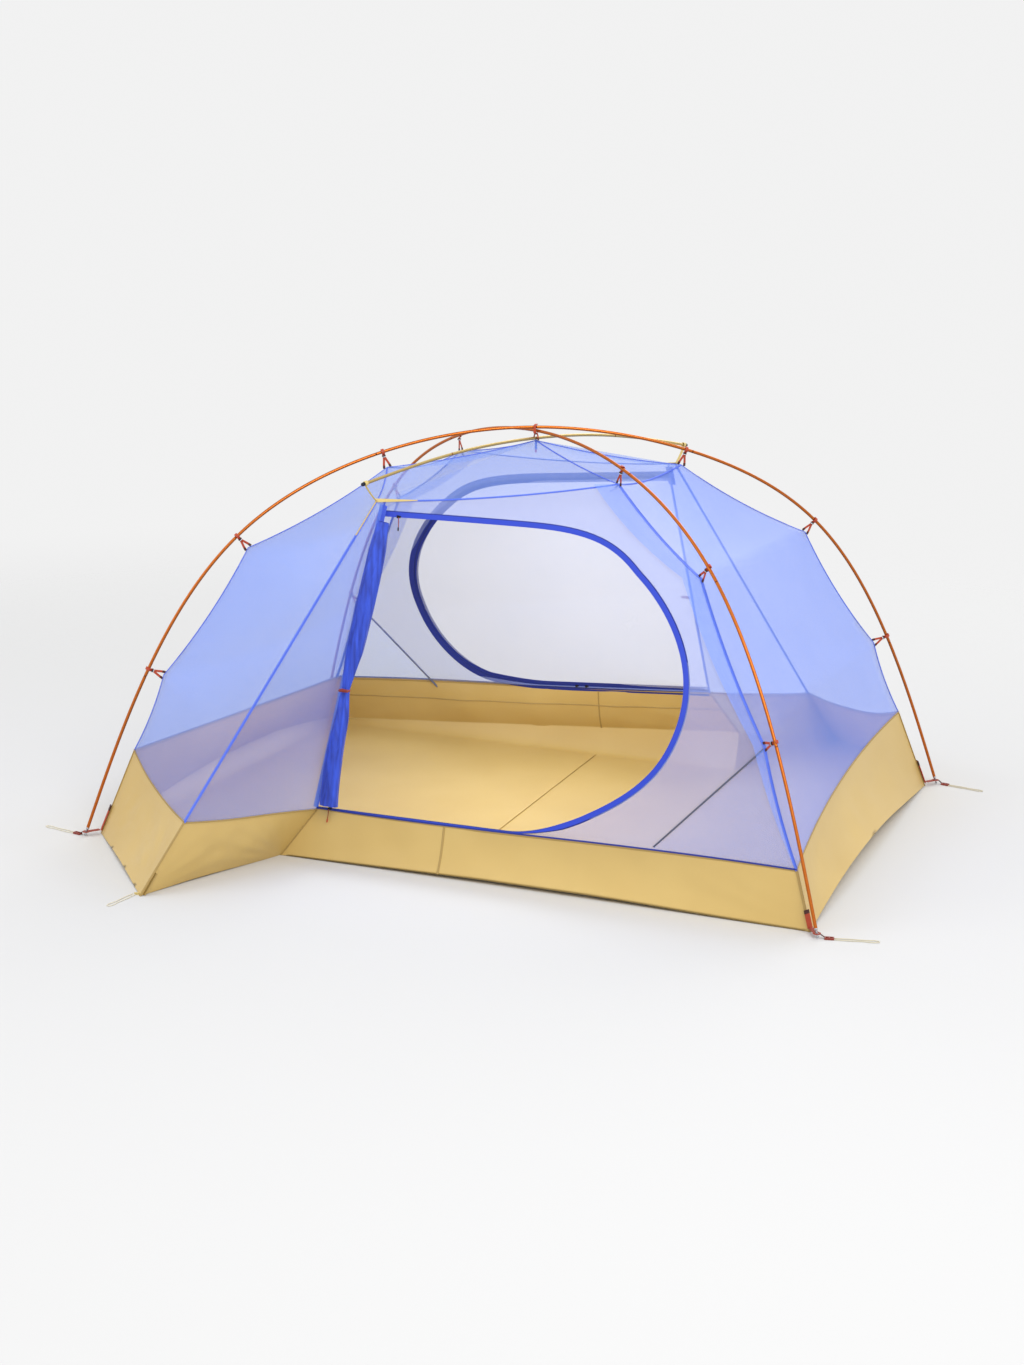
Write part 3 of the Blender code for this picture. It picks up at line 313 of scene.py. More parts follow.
THREAD_BLUE = woven("sewing_thread_navy", "3450C0", "2C46B0", 0.6, 1.0, 0.0010, 0.2)
THREAD_SAND = woven("sewing_thread_sand", "9C8048", "8E7440", 0.6, 1.0, 0.0010, 0.2)
THREAD_DARK = woven("sewing_thread_dark", "4A1C10", "3E160C", 0.6, 1.0, 0.0010, 0.2)
# The rolled door's finish mixes in a much darker blue along noise stretched tall up the roll: these dark streaks are
# painted shade, standing in for the shadow inside the roll's folds.
ROYAL_WITH_PAINTED_FOLD_SHADE = woven("brushed_nylon_royal_painted_fold_shade", "2E52D4", "162E92", 0.6, 1.0, 0.0015, 0.3, {"Sheen Weight": 0.1})
fold_shade_tree = ROYAL_WITH_PAINTED_FOLD_SHADE.node_tree
slow = next(n for n in fold_shade_tree.nodes if n.type == "TEX_NOISE")
fold_shade_streaks = add(fold_shade_tree, "ShaderNodeMapping", {"Vector": fold_shade_tree.nodes["Texture Coordinate"].outputs["Object"], "Scale": (60.0, 60.0, 2.0)})
fold_shade_tree.links.new(fold_shade_streaks.outputs[0], slow.inputs["Vector"])
slow.inputs["Scale"].default_value = 1.6
print("cloths:", len(bpy.data.materials))

# %% [markdown]
# ### Metal and plastic
# Anodised tube is drawn and has a thin coloured skin; a fine noise varies its colour and gloss a little.
# Moulded clips are slightly grainy. Each pattern reads Object coordinates, so it stays on the piece.

# %% Metal and plastic
def metal(name, colour, shade, roughness, grain, sockets=()):
    made, tree, shader = new_finish(name, colour, roughness, {"Metallic": 1.0, **dict(sockets)})
    here = add(tree, "ShaderNodeTexCoord")
    fine = add(tree, "ShaderNodeTexNoise", {"Vector": here.outputs["Object"], "Scale": grain, "Detail": 3.0})
    mixed = add(tree, "ShaderNodeMix", {0: fine.outputs["Fac"], 6: linear(shade), 7: linear(colour)}, data_type="RGBA")
    tree.links.new(mixed.outputs[2], shader.inputs["Base Color"])
    gloss = add(tree, "ShaderNodeMapRange", {"Value": fine.outputs["Fac"], "To Min": roughness - 0.06, "To Max": roughness + 0.08})
    tree.links.new(gloss.outputs[0], shader.inputs["Roughness"])
    return made


def moulded(name, colour, shade, roughness, grain=900.0):
    made, tree, shader = new_finish(name, colour, roughness)
    here = add(tree, "ShaderNodeTexCoord")
    fine = add(tree, "ShaderNodeTexNoise", {"Vector": here.outputs["Object"], "Scale": grain, "Detail": 2.0})
    mixed = add(tree, "ShaderNodeMix", {0: fine.outputs["Fac"], 6: linear(shade), 7: linear(colour)}, data_type="RGBA")
    tree.links.new(mixed.outputs[2], shader.inputs["Base Color"])
    height = add(tree, "ShaderNodeBump", {"Height": fine.outputs["Fac"], "Strength": 0.15, "Distance": 0.0002})
    tree.links.new(height.outputs["Normal"], shader.inputs["Normal"])
    return made


POLE = metal("anodised_aluminium_orange", "CE7634", "B05A22", 0.34, 260.0)
POLE_JOINT = metal("bare_aluminium_joint", "8A4A20", "74391A", 0.4, 400.0)
RIDGE = metal("anodised_aluminium_gold", "CDB477", "BFA568", 0.34, 260.0)
BRIGHT = metal("turned_aluminium", "C9CBD0", "B6B8BE", 0.3, 500.0)
DARK_METAL = metal("die_cast_zinc_dark", "3A3C48", "2E303A", 0.38, 500.0)
RUST_PLASTIC = moulded("moulded_acetal_rust", "B5421C", "A63A17", 0.42)
BLACK_PLASTIC = moulded("moulded_acetal_black", "1D1E22", "17181B", 0.45)
WHITE_PLASTIC = moulded("moulded_acetal_white", "E4E3E0", "D6D5D2", 0.45)
NAVY_PLASTIC = moulded("moulded_acetal_navy", "22306E", "1B2860", 0.45)
print("all finishes:", len(bpy.data.materials))

# %% [markdown]
# ## Repeats with Geometry Nodes
# Stitches and zip teeth repeat along a line hundreds of times. One node tree turns a guide line into
# points at a steady pitch and puts one small block at each, turned to follow the line.

# %% Blocks along guide lines
def repeat_tree():
    tree = bpy.data.node_groups.new("blocks_along_lines", "GeometryNodeTree")
    face = tree.interface
    face.new_socket("Lines", in_out="INPUT", socket_type="NodeSocketGeometry")
    pitch = face.new_socket("Pitch", in_out="INPUT", socket_type="NodeSocketFloat")
    size = face.new_socket("Size", in_out="INPUT", socket_type="NodeSocketVector")
    finish = face.new_socket("Finish", in_out="INPUT", socket_type="NodeSocketMaterial")
    face.new_socket("Blocks", in_out="OUTPUT", socket_type="NodeSocketGeometry")
    start = add(tree, "NodeGroupInput")
    curve = add(tree, "GeometryNodeMeshToCurve", {"Mesh": start.outputs["Lines"]})
    points = add(tree, "GeometryNodeCurveToPoints", {"Curve": curve.outputs[0], "Length": start.outputs["Pitch"]}, mode="LENGTH")
    block = add(tree, "GeometryNodeMeshCube", {"Size": start.outputs["Size"]})
    copies = add(tree, "GeometryNodeInstanceOnPoints", {"Points": points.outputs["Points"], "Instance": block.outputs["Mesh"], "Rotation": points.outputs["Rotation"]})
    real = add(tree, "GeometryNodeRealizeInstances", {"Geometry": copies.outputs[0]})
    done = add(tree, "GeometryNodeSetMaterial", {"Geometry": real.outputs[0], "Material": start.outputs["Finish"]})
    add(tree, "NodeGroupOutput", {"Blocks": done.outputs[0]})
    return tree, pitch.identifier, size.identifier, finish.identifier


REPEAT, PITCH_ID, SIZE_ID, FINISH_ID = repeat_tree()


def blocks_along(name, lines, pitch, size, finish, body="tent"):
    """Small blocks, each with its long side Z along the line, at a steady pitch on every line."""
    guide = bpy.data.meshes.new(name + "_guide")
    vertices, edges = [], []
    for line in lines:
        base = len(vertices)
        vertices += [tuple(point) for point in line]
        edges += [(base + i, base + i + 1) for i in range(len(line) - 1)]
    guide.from_pydata(vertices, edges, [])
    holder = bpy.data.objects.new(name, guide)
    bpy.context.scene.collection.objects.link(holder)
    change = holder.modifiers.new("blocks", "NODES")
    change.node_group = REPEAT
    change[PITCH_ID], change[SIZE_ID], change[FINISH_ID] = pitch, size, finish
    bpy.context.view_layer.update()
    graph = bpy.context.evaluated_depsgraph_get()
    data = bpy.data.meshes.new_from_object(holder.evaluated_get(graph))
    bpy.data.objects.remove(holder)
    made = bpy.data.objects.new(name, data)
    bpy.context.scene.collection.objects.link(made)
    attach(made, body)
    print(name, len(data.polygons), "faces")
    return made


# %% [markdown]
# ## Peg loops
# At each foot a thin cord runs out through a ladder buckle and lies on the ground, ready for a peg, and
# each side bay has one more loop. They are limp 2.6 mm cords, so they lie flat in one smooth bend.

# %% Peg loops
FOOT = Vector((1.065, 0.764, 0.0))
CORD_RADIUS = 0.0013
LOOP_ROUTE = ((0.0, 0.8), (0.35, 1.15), (0.75, 1.05), (0.96, 0.8), (1.0, 0.0))
LOOP_ROUTE += ((0.96, -0.8), (0.72, -1.0), (0.33, -1.1), (0.0, -0.8))


def loop_line(root, heading, reach):
    side = Vector((-heading.y, heading.x, 0.0)) * 0.0055
    near = root + UP * CORD_RADIUS
    return spline([near + heading * (reach * out) + side * across for out, across in LOOP_ROUTE], 26)


def peg_loop(name, root, heading, reach, back):
    line = loop_line(root, heading, reach)
    if back:
        line = [HALF_TURN @ point for point in line]
    shape = Shape()
    shape.tube(line, CORD_RADIUS, sides=10)
    cord = shape.made(name + "_braid", [CORD], slot="peg_cord")
    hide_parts(name)
    return line


LOOPS = {}
for corner, sx, sy in (("front_left", -1, -1), ("front_right", 1, -1), ("back_right", 1, 1), ("back_left", -1, 1)):
    heading = Vector((sx * 0.976, sy * -0.217, 0.0)).normalized()
    foot = Vector((sx * FOOT.x, sy * FOOT.y, 0.0))
    root = foot + heading * 0.0403
    LOOPS[corner] = peg_loop("peg_cord_" + corner, root, heading, 0.114, False)
SIDE_PEG = Vector((-0.649, -1.156, 0.0))
bay_root = SIDE_PEG + Vector((-0.0207, 0.006, 0.0))
bay_heading = Vector((-0.118, -0.993, 0.0)).normalized()
LOOPS["side_front"] = peg_loop("peg_loop_front", bay_root, bay_heading, 0.112, False)
LOOPS["side_back"] = peg_loop("peg_loop_back", bay_root, bay_heading, 0.112, True)
print("loop lengths", {name: round(float(lengths(line)[-1]), 3) for name, line in LOOPS.items()})

# %% [markdown]
# ## The poles
# Each long pole is a row of aluminium sections on a shock cord. A section ends in a sleeve that the next
# one slides into, which leaves a fine ring in the tube, so the tube is swept with a shallow groove there.
# The tips are turned metal and stand in the webbing rings at the tent's corners.

# %% Long poles
POLE_RADIUS = 0.0045
PEAK = 1.139
POLE_A = ((0.1922, 0.006, 0.659), (0.4497, -0.009, 0.292), (0.8717, -0.0436, 0.068))
POLE_B = ((0.1961, 0.0, 0.677), (0.4919, 0.0, 0.276), (0.8929, 0.005, 0.069))


def pole_stations(diagonal, stations, peak):
    sideways = Vector((-diagonal.y, diagonal.x, 0.0))
    reach = math.hypot(FOOT.x, FOOT.y)
    half = [diagonal * (reach - inset) + sideways * bow + UP * (PEAK - drop) for inset, bow, drop in stations]
    half.insert(0, at_height(diagonal * reach, half[0], 0.024))
    return [*half, UP * peak, *(HALF_TURN @ point for point in reversed(half))]


def sectioned_pole(name, stations, radius, sections, finish, joint, slot, samples=361):
    """A tube with a fine groove where one section slides into the next."""
    line = spline(stations, samples)
    far = lengths(line)
    total = far[-1]
    marks, radii = list(far), [1.0] * len(far)
    for i in range(1, sections):
        at = total * i / sections
        for step, share in ((-0.0016, 1.0), (-0.0012, 0.86), (0.0012, 0.86), (0.0016, 1.0)):
            marks.append(at + step)
            radii.append(share)
    order = np.argsort(marks)
    p = np.array([tuple(point) for point in line])
    at = np.array(marks)[order]
    points = [Vector(row) for row in np.stack([np.interp(at, far, p[:, k]) for k in range(3)], axis=1)]
    shape = Shape()
    shape.tube(points, radius, sides=24, radii=[radius * radii[i] for i in order])
    for i, face in enumerate(shape.faces):
        near = at[min(i // 24, len(at) - 1)]
        if any(abs(near - total * k / sections) < 0.00125 for k in range(1, sections)):
            shape.slots[i] = 1
    pole = shape.made(name, [finish, joint], slot=slot)
    return pole, line


A_STATIONS = pole_stations(Vector((-FOOT.x, -FOOT.y, 0.0)).normalized(), POLE_A, PEAK)
B_STATIONS = pole_stations(Vector((FOOT.x, -FOOT.y, 0.0)).normalized(), POLE_B, PEAK - 0.010)
pole_a, LINE_A = sectioned_pole("long_pole_a", A_STATIONS, POLE_RADIUS, 8, POLE, POLE_JOINT, "pole_alloy")
pole_b, LINE_B = sectioned_pole("long_pole_b", B_STATIONS, POLE_RADIUS, 8, POLE, POLE_JOINT, "pole_alloy")
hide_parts("pole_a")
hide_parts("pole_b")
print("pole lengths", round(float(lengths(LINE_A)[-1]), 3), round(float(lengths(LINE_B)[-1]), 3))


# %% Turned tips
def turned_piece(shape, origin, axis, profile, slot=0, steps=40):
    """A lathe-turned shape from (radius, height) pairs along an axis."""
    side = axis.orthogonal().normalized()
    other = axis.cross(side)
    rows = []
    for radius, height in profile:
        ring = []
        for k in range(steps + 1):
            angle = 2.0 * math.pi * k / steps
            ring.append(origin + axis * height + (side * math.cos(angle) + other * math.sin(angle)) * radius)
        rows.append(ring)
    shape.grid(rows[::-1], slot)


def pole_tip(corner, line):
    end, inside = line
    axis = (inside - end).normalized()
    below = (end.z - 0.003) / axis.z
    shape = Shape()
    profile = [(0.00001, 0.012), (0.0030, 0.012), (0.0030, -0.0004), (0.0042, -0.0004), (0.0046, -0.0009)]
    profile += [(0.0046, -0.0018), (0.0042, -0.0021), (0.0046, -0.0024), (0.0046, -0.0038), (0.0042, -0.0042)]
    profile += [(0.0033, -0.0058), (0.0030, -0.0066), (0.0030, -below)]
    profile += [(0.003 * math.cos(math.radians(t)), -below - 0.003 * math.sin(math.radians(t))) for t in (15, 30, 45, 60, 75)]
    profile.append((0.00001, -below - 0.003))
    turned_piece(shape, end, axis, profile)
    tip = shape.made("tip_" + corner, [BRIGHT], slot="tip_metal", merge=0.00002)
    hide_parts("pole_tip_" + corner)


pole_tip("front_left", (LINE_A[0], LINE_A[1]))
pole_tip("back_right", (LINE_A[-1], LINE_A[-2]))
pole_tip("front_right", (LINE_B[0], LINE_B[1]))
pole_tip("back_left", (LINE_B[-1], LINE_B[-2]))
for letter in "ab":
    frame["nodes"]["shock_cord_" + letter].data.materials.clear()
    frame["nodes"]["shock_cord_" + letter].data.materials.append(CORD)
print("tips done")

# %% [markdown]
# ## The ridge pole
# A short gold pole lies over the crossing and holds the roof's two front corners out over the doors.
# Each of its ends has a small dark cap, and a sand webbing tab ties the end to the roof's corner.

# %% Ridge pole and its tabs
RIDGE_RADIUS = 0.0043
RIDGE_END = Vector((-0.267, -0.598, PEAK - 0.105))
RIDGE_CORNER = Vector((-0.2535, -0.5366, PEAK - 0.157))
ridge_middle = UP * (PEAK - 0.0315)
ridge_quarter = RIDGE_END.lerp(ridge_middle, 0.5) + UP * 0.018
ridge_stations = [RIDGE_END, ridge_quarter, ridge_middle, HALF_TURN @ ridge_quarter, HALF_TURN @ RIDGE_END]
ridge, LINE_R = sectioned_pole("short_ridge_pole", ridge_stations, RIDGE_RADIUS, 4, RIDGE, POLE_JOINT, "ridge_alloy", 161)
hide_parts("ridge_pole")
caps = Shape()
for end, inside in ((LINE_R[0], LINE_R[1]), (LINE_R[-1], LINE_R[-2])):
    out = (end - inside).normalized()
    turned_piece(caps, end, out, [(0.0046, -0.009), (0.0051, -0.0085), (0.0051, -0.0005), (0.0044, 0.0012), (0.0025, 0.0022), (0.00001, 0.0024)], steps=28)
caps.made("ridge_pole_caps", [DARK_METAL], slot="ridge_alloy", merge=0.00002)


def ridge_tab(name, back):
    """A loop of webbing round the pole's end, and its tail down to the roof's corner."""
    along = (LINE_R[1] - LINE_R[0]).normalized()
    centre = LINE_R[0] + along * 0.0125
    fall = RIDGE_CORNER - centre
    fall = (fall - along * fall.dot(along)).normalized()
    side = fall.cross(along)
    shape = Shape()
    loop = [centre + (fall * math.cos(t) + side * math.sin(t)) * 0.0062 for t in np.linspace(0.35, 2 * math.pi - 0.35, 33)]
    start = centre + fall * 0.0072
    tail = [start.lerp(RIDGE_CORNER, s) for s in np.linspace(0.0, 1.0, 24)]
    tail = [point - UP * (0.003 * math.sin(math.pi * i / 23)) for i, point in enumerate(tail)]
    turned_line = [HALF_TURN @ p if back else p for p in loop]
    turned_along = HALF_TURN.to_3x3() @ along if back else along
    shape.sweep(turned_line, [turned_along] * len(loop), band(0.010, 0.0012))
    tail = [HALF_TURN @ p if back else p for p in tail]
    across = turned_along.cross(tail[-1] - tail[0]).normalized()
    shape.sweep(tail, carried_sides(tail, across), band(0.010, 0.0012))
    piece = shape.made(name + "_webbing", [SAND_WEB], slot="sand_webbing")
    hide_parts(name)


ridge_tab("ridge_tab_front", False)
ridge_tab("ridge_tab_back", True)
print("ridge pole", round(float(lengths(LINE_R)[-1]), 3), "m")

# %% [markdown]
# ## The clips
# A clip is a moulded hook that snaps onto the pole from the side. A small ring sits at its neck, and two
# legs of narrow webbing run from it to the canopy's edge, where a darker patch is sewn over each foot.
# All twelve are the same, so one function builds a clip in its own axes and the joint says where it goes.

# %% One clip
REACH = 0.046


def clip_axes(joint):
    """The clip's own axes: X along the pole, Z out from the canopy, from its hinge on the canopy's edge."""
    along = Vector(joint["axis"]).normalized()
    across = along.cross(UP).normalized()
    outward = across.cross(along).normalized()
    place = Matrix((along, outward.cross(along), outward)).transposed().to_4x4()
    return Matrix.Translation(joint["pos_m"]) @ place


def canopy_clip(name):
    place = clip_axes(JOINTS[name + "_unhook"])
    shape = Shape()
    middle = 0.00725
    arc = [math.radians(a) for a in np.linspace(62.0, 252.0, 40)]
    hook = [Vector((0.0, math.cos(a) * middle, REACH + math.sin(a) * middle)) for a in arc]
    hook += [Vector((0.0, 0.0006, REACH - 0.0088)), Vector((0.0, 0.0, REACH - 0.0125)), Vector((0.0, 0.0, REACH - 0.0165))]
    shape.sweep([place @ p for p in hook], [place.to_3x3() @ Vector((1, 0, 0))] * len(hook), band(0.009, 0.0027), 0)
    collar = place @ Vector((0.0, 0.0, REACH - 0.0118))
    outward = place.to_3x3() @ Vector((0, 0, 1))
    ring = [(0.0030, -0.0016), (0.0052, -0.0014), (0.0058, -0.0005), (0.0058, 0.0005), (0.0052, 0.0014), (0.0030, 0.0016)]
    turned_piece(shape, collar, outward, ring, 1, 28)
    turned_piece(shape, collar - outward * 0.0028, outward, [(0.0030, -0.0010), (0.0050, -0.0008), (0.0050, 0.0008), (0.0030, 0.0010)], 2, 28)
    for sign in (-1.0, 1.0):
        leg = spline([(sign * 0.0008, 0.0, 0.0325), (sign * 0.0030, 0.0, 0.0235), (sign * 0.0065, 0.0, 0.0125), (sign * 0.0088, 0.0, 0.0035), (sign * 0.0096, 0.0, -0.0015)], 22)
        leg = [place @ p for p in leg]
        flat = place.to_3x3() @ Vector((0, 1, 0))
        sides = [flat.cross(t).normalized() for t in tangents(leg)]
        shape.sweep(leg, sides, band(0.0064, 0.0014), 3)
        foot = [place @ Vector((sign * x, 0.0, z)) for x, z in ((0.0078, 0.0072), (0.0088, 0.0035), (0.0096, -0.0015))]
        sides = [flat.cross(t).normalized() for t in tangents(foot)]
        shape.sweep(foot, sides, band(0.0070, 0.0024), 4)
    bar = [place @ Vector((x, 0.0, 0.0318)) for x in (-0.0034, 0.0, 0.0034)]
    shape.sweep(bar, [place.to_3x3() @ Vector((0, 1, 0))] * 3, band(0.0040, 0.0032), 3)
    made = shape.made(name + "_piece", [RUST_PLASTIC, BLACK_PLASTIC, WHITE_PLASTIC, RUST_WEB, THREAD_DARK], name, "clip_plastic")
    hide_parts(name)


for letter in "ab":
    for number in range(1, 7):
        canopy_clip(f"clip_{letter}{number}")
print("12 clips")

# %% [markdown]
# ### The crossing clip
# Where the poles cross, one bigger moulding hooks both of them. Its webbing straddles the ridge pole and
# comes down to the roof's peak, where a short tab hangs on the inside for a lamp.

# %% Crossing clip
APEX = Vector((0.0, 0.0, 1.101))
low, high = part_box("apex_clip")
inside, wall = -low.y - 0.003, 0.003
top, bottom = PEAK + POLE_RADIUS + 0.002, PEAK - 0.010 - POLE_RADIUS - 0.002
shape = Shape()
path = [(inside * 0.45, top + 0.0012), (-inside * 0.45, top + 0.0012), (-inside - 0.0005, top - 0.0008), (-inside - 0.0015, top - 0.004)]
path += [(-inside - 0.0015, bottom + 0.004), (-inside - 0.0005, bottom + 0.0004), (-inside * 0.5, bottom - 0.0012), (inside * 0.55, bottom - 0.0012)]
hook = [Vector((0.0, y, z)) for y, z in path]
shape.sweep(spaced(hook, 60), [Vector((1, 0, 0))] * 60, band(0.008, 0.0028), 0)
turned_piece(shape, Vector((0, 0, bottom - 0.0035)), UP, [(0.002, -0.0012), (0.0046, -0.001), (0.0046, 0.001), (0.002, 0.0012)], 1, 28)
heading = Vector((RIDGE_END.x, RIDGE_END.y, 0.0)).normalized()
side = Vector((-heading.y, heading.x, 0.0))
for sign in (-1.0, 1.0):
    leg = [side * (sign * 0.0016) + UP * (bottom - 0.001), side * (sign * 0.0066) + UP * (bottom - 0.0062)]
    leg += [side * (sign * 0.0080) + UP * (bottom - 0.0120), side * (sign * 0.0096) + UP * (APEX.z + 0.001)]
    leg = spline(leg, 24)
    shape.sweep(leg, [heading] * 24, band(0.0050, 0.0014), 2)
    foot = leg[-6:]
    shape.sweep(foot, [heading] * 6, band(0.0060, 0.0026), 3)
tab = [Vector((0.0, 0.0, APEX.z - 0.001)) - UP * d for d in np.linspace(0.0, 0.026, 8)]
shape.sweep(tab, [side] * 8, band(0.009, 0.0012), 4)
end_tab = [tab[-1] - UP * d for d in (-0.001, 0.003, 0.008)]
shape.sweep(end_tab, [side] * 3, band(0.006, 0.002), 2)
crossing = shape.made("crossing_clip", [RUST_PLASTIC, BLACK_PLASTIC, RUST_WEB, THREAD_DARK, SEAM_BLUE], slot="clip_plastic")
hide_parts("apex_clip")
print("crossing clip from", round(low.z, 3), "to", round(high.z, 3))

# %% [markdown]
# ## The canopy
# The canopy is one cloth skin sewn from sheer panels. Cloth under tension between two clips pulls in to a
# shallow curve, so each edge is a chain of such curves, and each panel is blended between its four edges
# and then dished a little towards the inside. All panels share their edge points and are welded into one
# continuous sheet. The walls round the doors are paler insect mesh.

# %% Edges and seams
TUB_A, TUB_B = Vector((-0.953, -0.669, 0.2395)), Vector((0.991, -0.711, 0.151))
SIDE_TOP = Vector((-0.577, -1.044, 0.178))
NOTCH, NOTCH_TOP = Vector((-0.475, -0.700, 0.0)), Vector((-0.378, -0.664, 0.135))
BACK_NOTCH, BACK_NOTCH_TOP = Vector((-0.440, -0.700, 0.112)), Vector((-0.352, -0.654, 0.245))
FLOOR_A, FLOOR_B = Vector((-1.035, -0.725, 0.0)), Vector((1.035, -0.725, 0.0))
HINGE_TOP = RIDGE_CORNER + Vector((0.020, 0.010, -0.002))
INSIDE = Vector((0.0, 0.0, 0.35))
SPAN = 14
WIDE = 29


def pulled_in(start, end, share, count):
    """A line between two points that bows towards the tent's inside by a share of its length."""
    run = end - start
    towards = INSIDE - start.lerp(end, 0.5)
    towards = (towards - run * (towards.dot(run) / run.length_squared)).normalized()
    steps = [i / (count - 1) for i in range(count)]
    return [start.lerp(end, t) + towards * (run.length * share * 4.0 * t * (1.0 - t)) for t in steps]


def clipped_edge(stations, share):
    line = []
    for start, end in zip(stations, stations[1:]):
        line += pulled_in(start, end, share, SPAN + 1)[:-1]
    return [*line, stations[-1]]


def heights_of(low, high, line):
    """A straight line with points at the heights of another line's."""
    z0, z1 = line[0].z, line[-1].z
    return [low.lerp(high, (p.z - z0) / (z1 - z0)) for p in line]


A_CLIPS = [Vector(JOINTS[f"clip_a{i}_unhook"]["pos_m"]) for i in (1, 2, 3)]
B_CLIPS = [Vector(JOINTS[f"clip_b{i}_unhook"]["pos_m"]) for i in (1, 2, 3)]
EDGE_A = clipped_edge([TUB_A, *A_CLIPS], 0.030)
EDGE_B = clipped_edge([TUB_B, *B_CLIPS], 0.030)
RIDGE_SEAM = heights_of(SIDE_TOP, RIDGE_CORNER, EDGE_A)
TOP_A = pulled_in(EDGE_A[-1], RIDGE_CORNER, 0.02, WIDE)
TOP_B = [p - UP * (0.012 * 4.0 * t * (1.0 - t)) for p, t in ((RIDGE_CORNER.lerp(EDGE_B[-1], i / 28), i / 28) for i in range(WIDE))]
TOP_END = pulled_in(EDGE_B[-1], HALF_TURN @ EDGE_A[-1], 0.045, WIDE)
PEAK_A = pulled_in(APEX, EDGE_A[-1], 0.02, WIDE)
PEAK_R = pulled_in(APEX, RIDGE_CORNER, 0.0, WIDE)
PEAK_B = pulled_in(APEX, EDGE_B[-1], 0.02, WIDE)
print("edge A has", len(EDGE_A), "points,", round(float(lengths(EDGE_A)[-1]), 3), "m")


# %% The bathtub's top line, which the canopy is sewn to
def risen(start, end, heights, count):
    """A line between two points in plan, with its heights from a few values along it."""
    steps = [i / (count - 1) for i in range(count)]
    knots = [i / (len(heights) - 1) for i in range(len(heights))]
    zs = spline([(k, 0.0, h) for k, h in zip(knots, heights)], 101)
    xs, hs = [p.x for p in zs], [p.z for p in zs]
    return [Vector((*start.lerp(end, t).xy, float(np.interp(t, xs, hs)))) for t in steps]


FRONT_N = 61
BAY_TOP = risen(TUB_A, SIDE_TOP, (0.2395, 0.203, 0.186, 0.177, 0.178), WIDE)
NECK_TOP = risen(SIDE_TOP, NOTCH_TOP, (0.178, 0.160, 0.149, 0.135), WIDE)
BACK_NECK_TOP = risen(SIDE_TOP, BACK_NOTCH_TOP, (0.178, 0.196, 0.218, 0.245), WIDE)
FRONT_TOP = risen(NOTCH_TOP, TUB_B, (0.135, 0.1345, 0.1365, 0.1405, 0.146, 0.150, 0.152, 0.151), FRONT_N)
BACK_TOP = risen(BACK_NOTCH_TOP, TUB_B, (0.245, 0.225, 0.207, 0.190, 0.173, 0.151), FRONT_N)
END_TOP = [p + Vector((-0.030, 0.0, 0.012)) * (4.0 * t * (1.0 - t)) for p, t in
           ((TUB_B.lerp(HALF_TURN @ TUB_A, i / (WIDE - 1)), i / (WIDE - 1)) for i in range(WIDE))]
print("front top line", round(float(lengths(FRONT_TOP)[-1]), 3), "m")

# %% [markdown]
# ### The doors' zips
# Each door's zip starts at the top of its hinge, runs out level, drops in one big curve and comes back
# along the sill to the hinge's foot. The same outline gives the opening, the zip's tapes and the door.

# %% The zip's line
DOOR_LINE = ((0.112, 0.927), (0.370, 0.886), (0.535, 0.767), (0.642, 0.545), (0.592, 0.362), (0.440, 0.232))
B_PLAIN = [TUB_B, *B_CLIPS]


def wall_depth(notch_top, x, z):
    i = 0
    while i < 2 and B_PLAIN[i + 1].z < z:
        i += 1
    edge, hinge = at_height(B_PLAIN[i], B_PLAIN[i + 1], z), at_height(notch_top, HINGE_TOP, z)
    return hinge.y + (edge.y - hinge.y) * (x - hinge.x) / (edge.x - hinge.x)


def zip_line(notch_top):
    """The zip in three runs, which face the roof seam, the pole's edge and the bathtub."""
    start = at_height(notch_top, HINGE_TOP, 0.943)
    sill = notch_top.lerp(TUB_B, (0.276 - notch_top.x) / (TUB_B.x - notch_top.x))
    flat = [(start.x + 0.004, 0.943), *DOOR_LINE, (0.276, sill.z + 0.006)]
    arch = spline([(x, 0.0, z) for x, z in flat], 113)
    last = Vector((notch_top.x + 0.004, 0.0, notch_top.z + 0.006))
    arch = [Vector((p.x, wall_depth(notch_top, p.x, p.z), p.z)) for p in arch]
    sill_run = [arch[-1].lerp(last, i / 40) for i in range(41)]
    sill_run = [Vector((p.x, wall_depth(notch_top, p.x, p.z), p.z)) for p in sill_run]
    run = [*arch[84:], *sill_run[1:]]
    turn = len(arch) - 85
    first, last_point, corner = run[turn - 9], run[turn + 5], run[turn]
    bend = [(first.lerp(corner, t)).lerp(corner.lerp(last_point, t), t) for t in [i / 14 for i in range(15)]]
    run = [*run[:turn - 9], *bend, *run[turn + 6:]]
    return spaced(arch[:41], WIDE), spaced(arch[40:85], 3 * SPAN + 1), spaced(run, FRONT_N)


FRONT_ZIP, BACK_ZIP = zip_line(NOTCH_TOP), zip_line(BACK_NOTCH_TOP)
print("front zip", round(sum(float(lengths(run)[-1]) for run in FRONT_ZIP), 3), "m")


# %% The canopy's panels
def panel(left, right, bottom, top, dish):
    """Rows of points blended between four edges, dished towards the inside."""
    n, m = len(left), len(bottom)
    L, R = np.array([tuple(p) for p in left]), np.array([tuple(p) for p in right])
    B, T = np.array([tuple(p) for p in bottom]), np.array([tuple(p) for p in top])
    v, u = np.linspace(0, 1, n)[:, None, None], np.linspace(0, 1, m)[None, :, None]
    grid = (1 - u) * L[:, None] + u * R[:, None] + (1 - v) * B[None] + v * T[None]
    grid -= (1 - u) * (1 - v) * B[0] + u * (1 - v) * B[-1] + (1 - u) * v * T[0] + u * v * T[-1]
    normal = Vector(np.cross(grid[n // 2, -1] - grid[n // 2, 0], grid[-1, m // 2] - grid[0, m // 2])).normalized()
    if normal.dot(Vector(grid[n // 2, m // 2]) - INSIDE) < 0.0:
        normal = -normal
    return grid - np.array(normal) * (dish * 16.0 * u * (1 - u) * v * (1 - v))


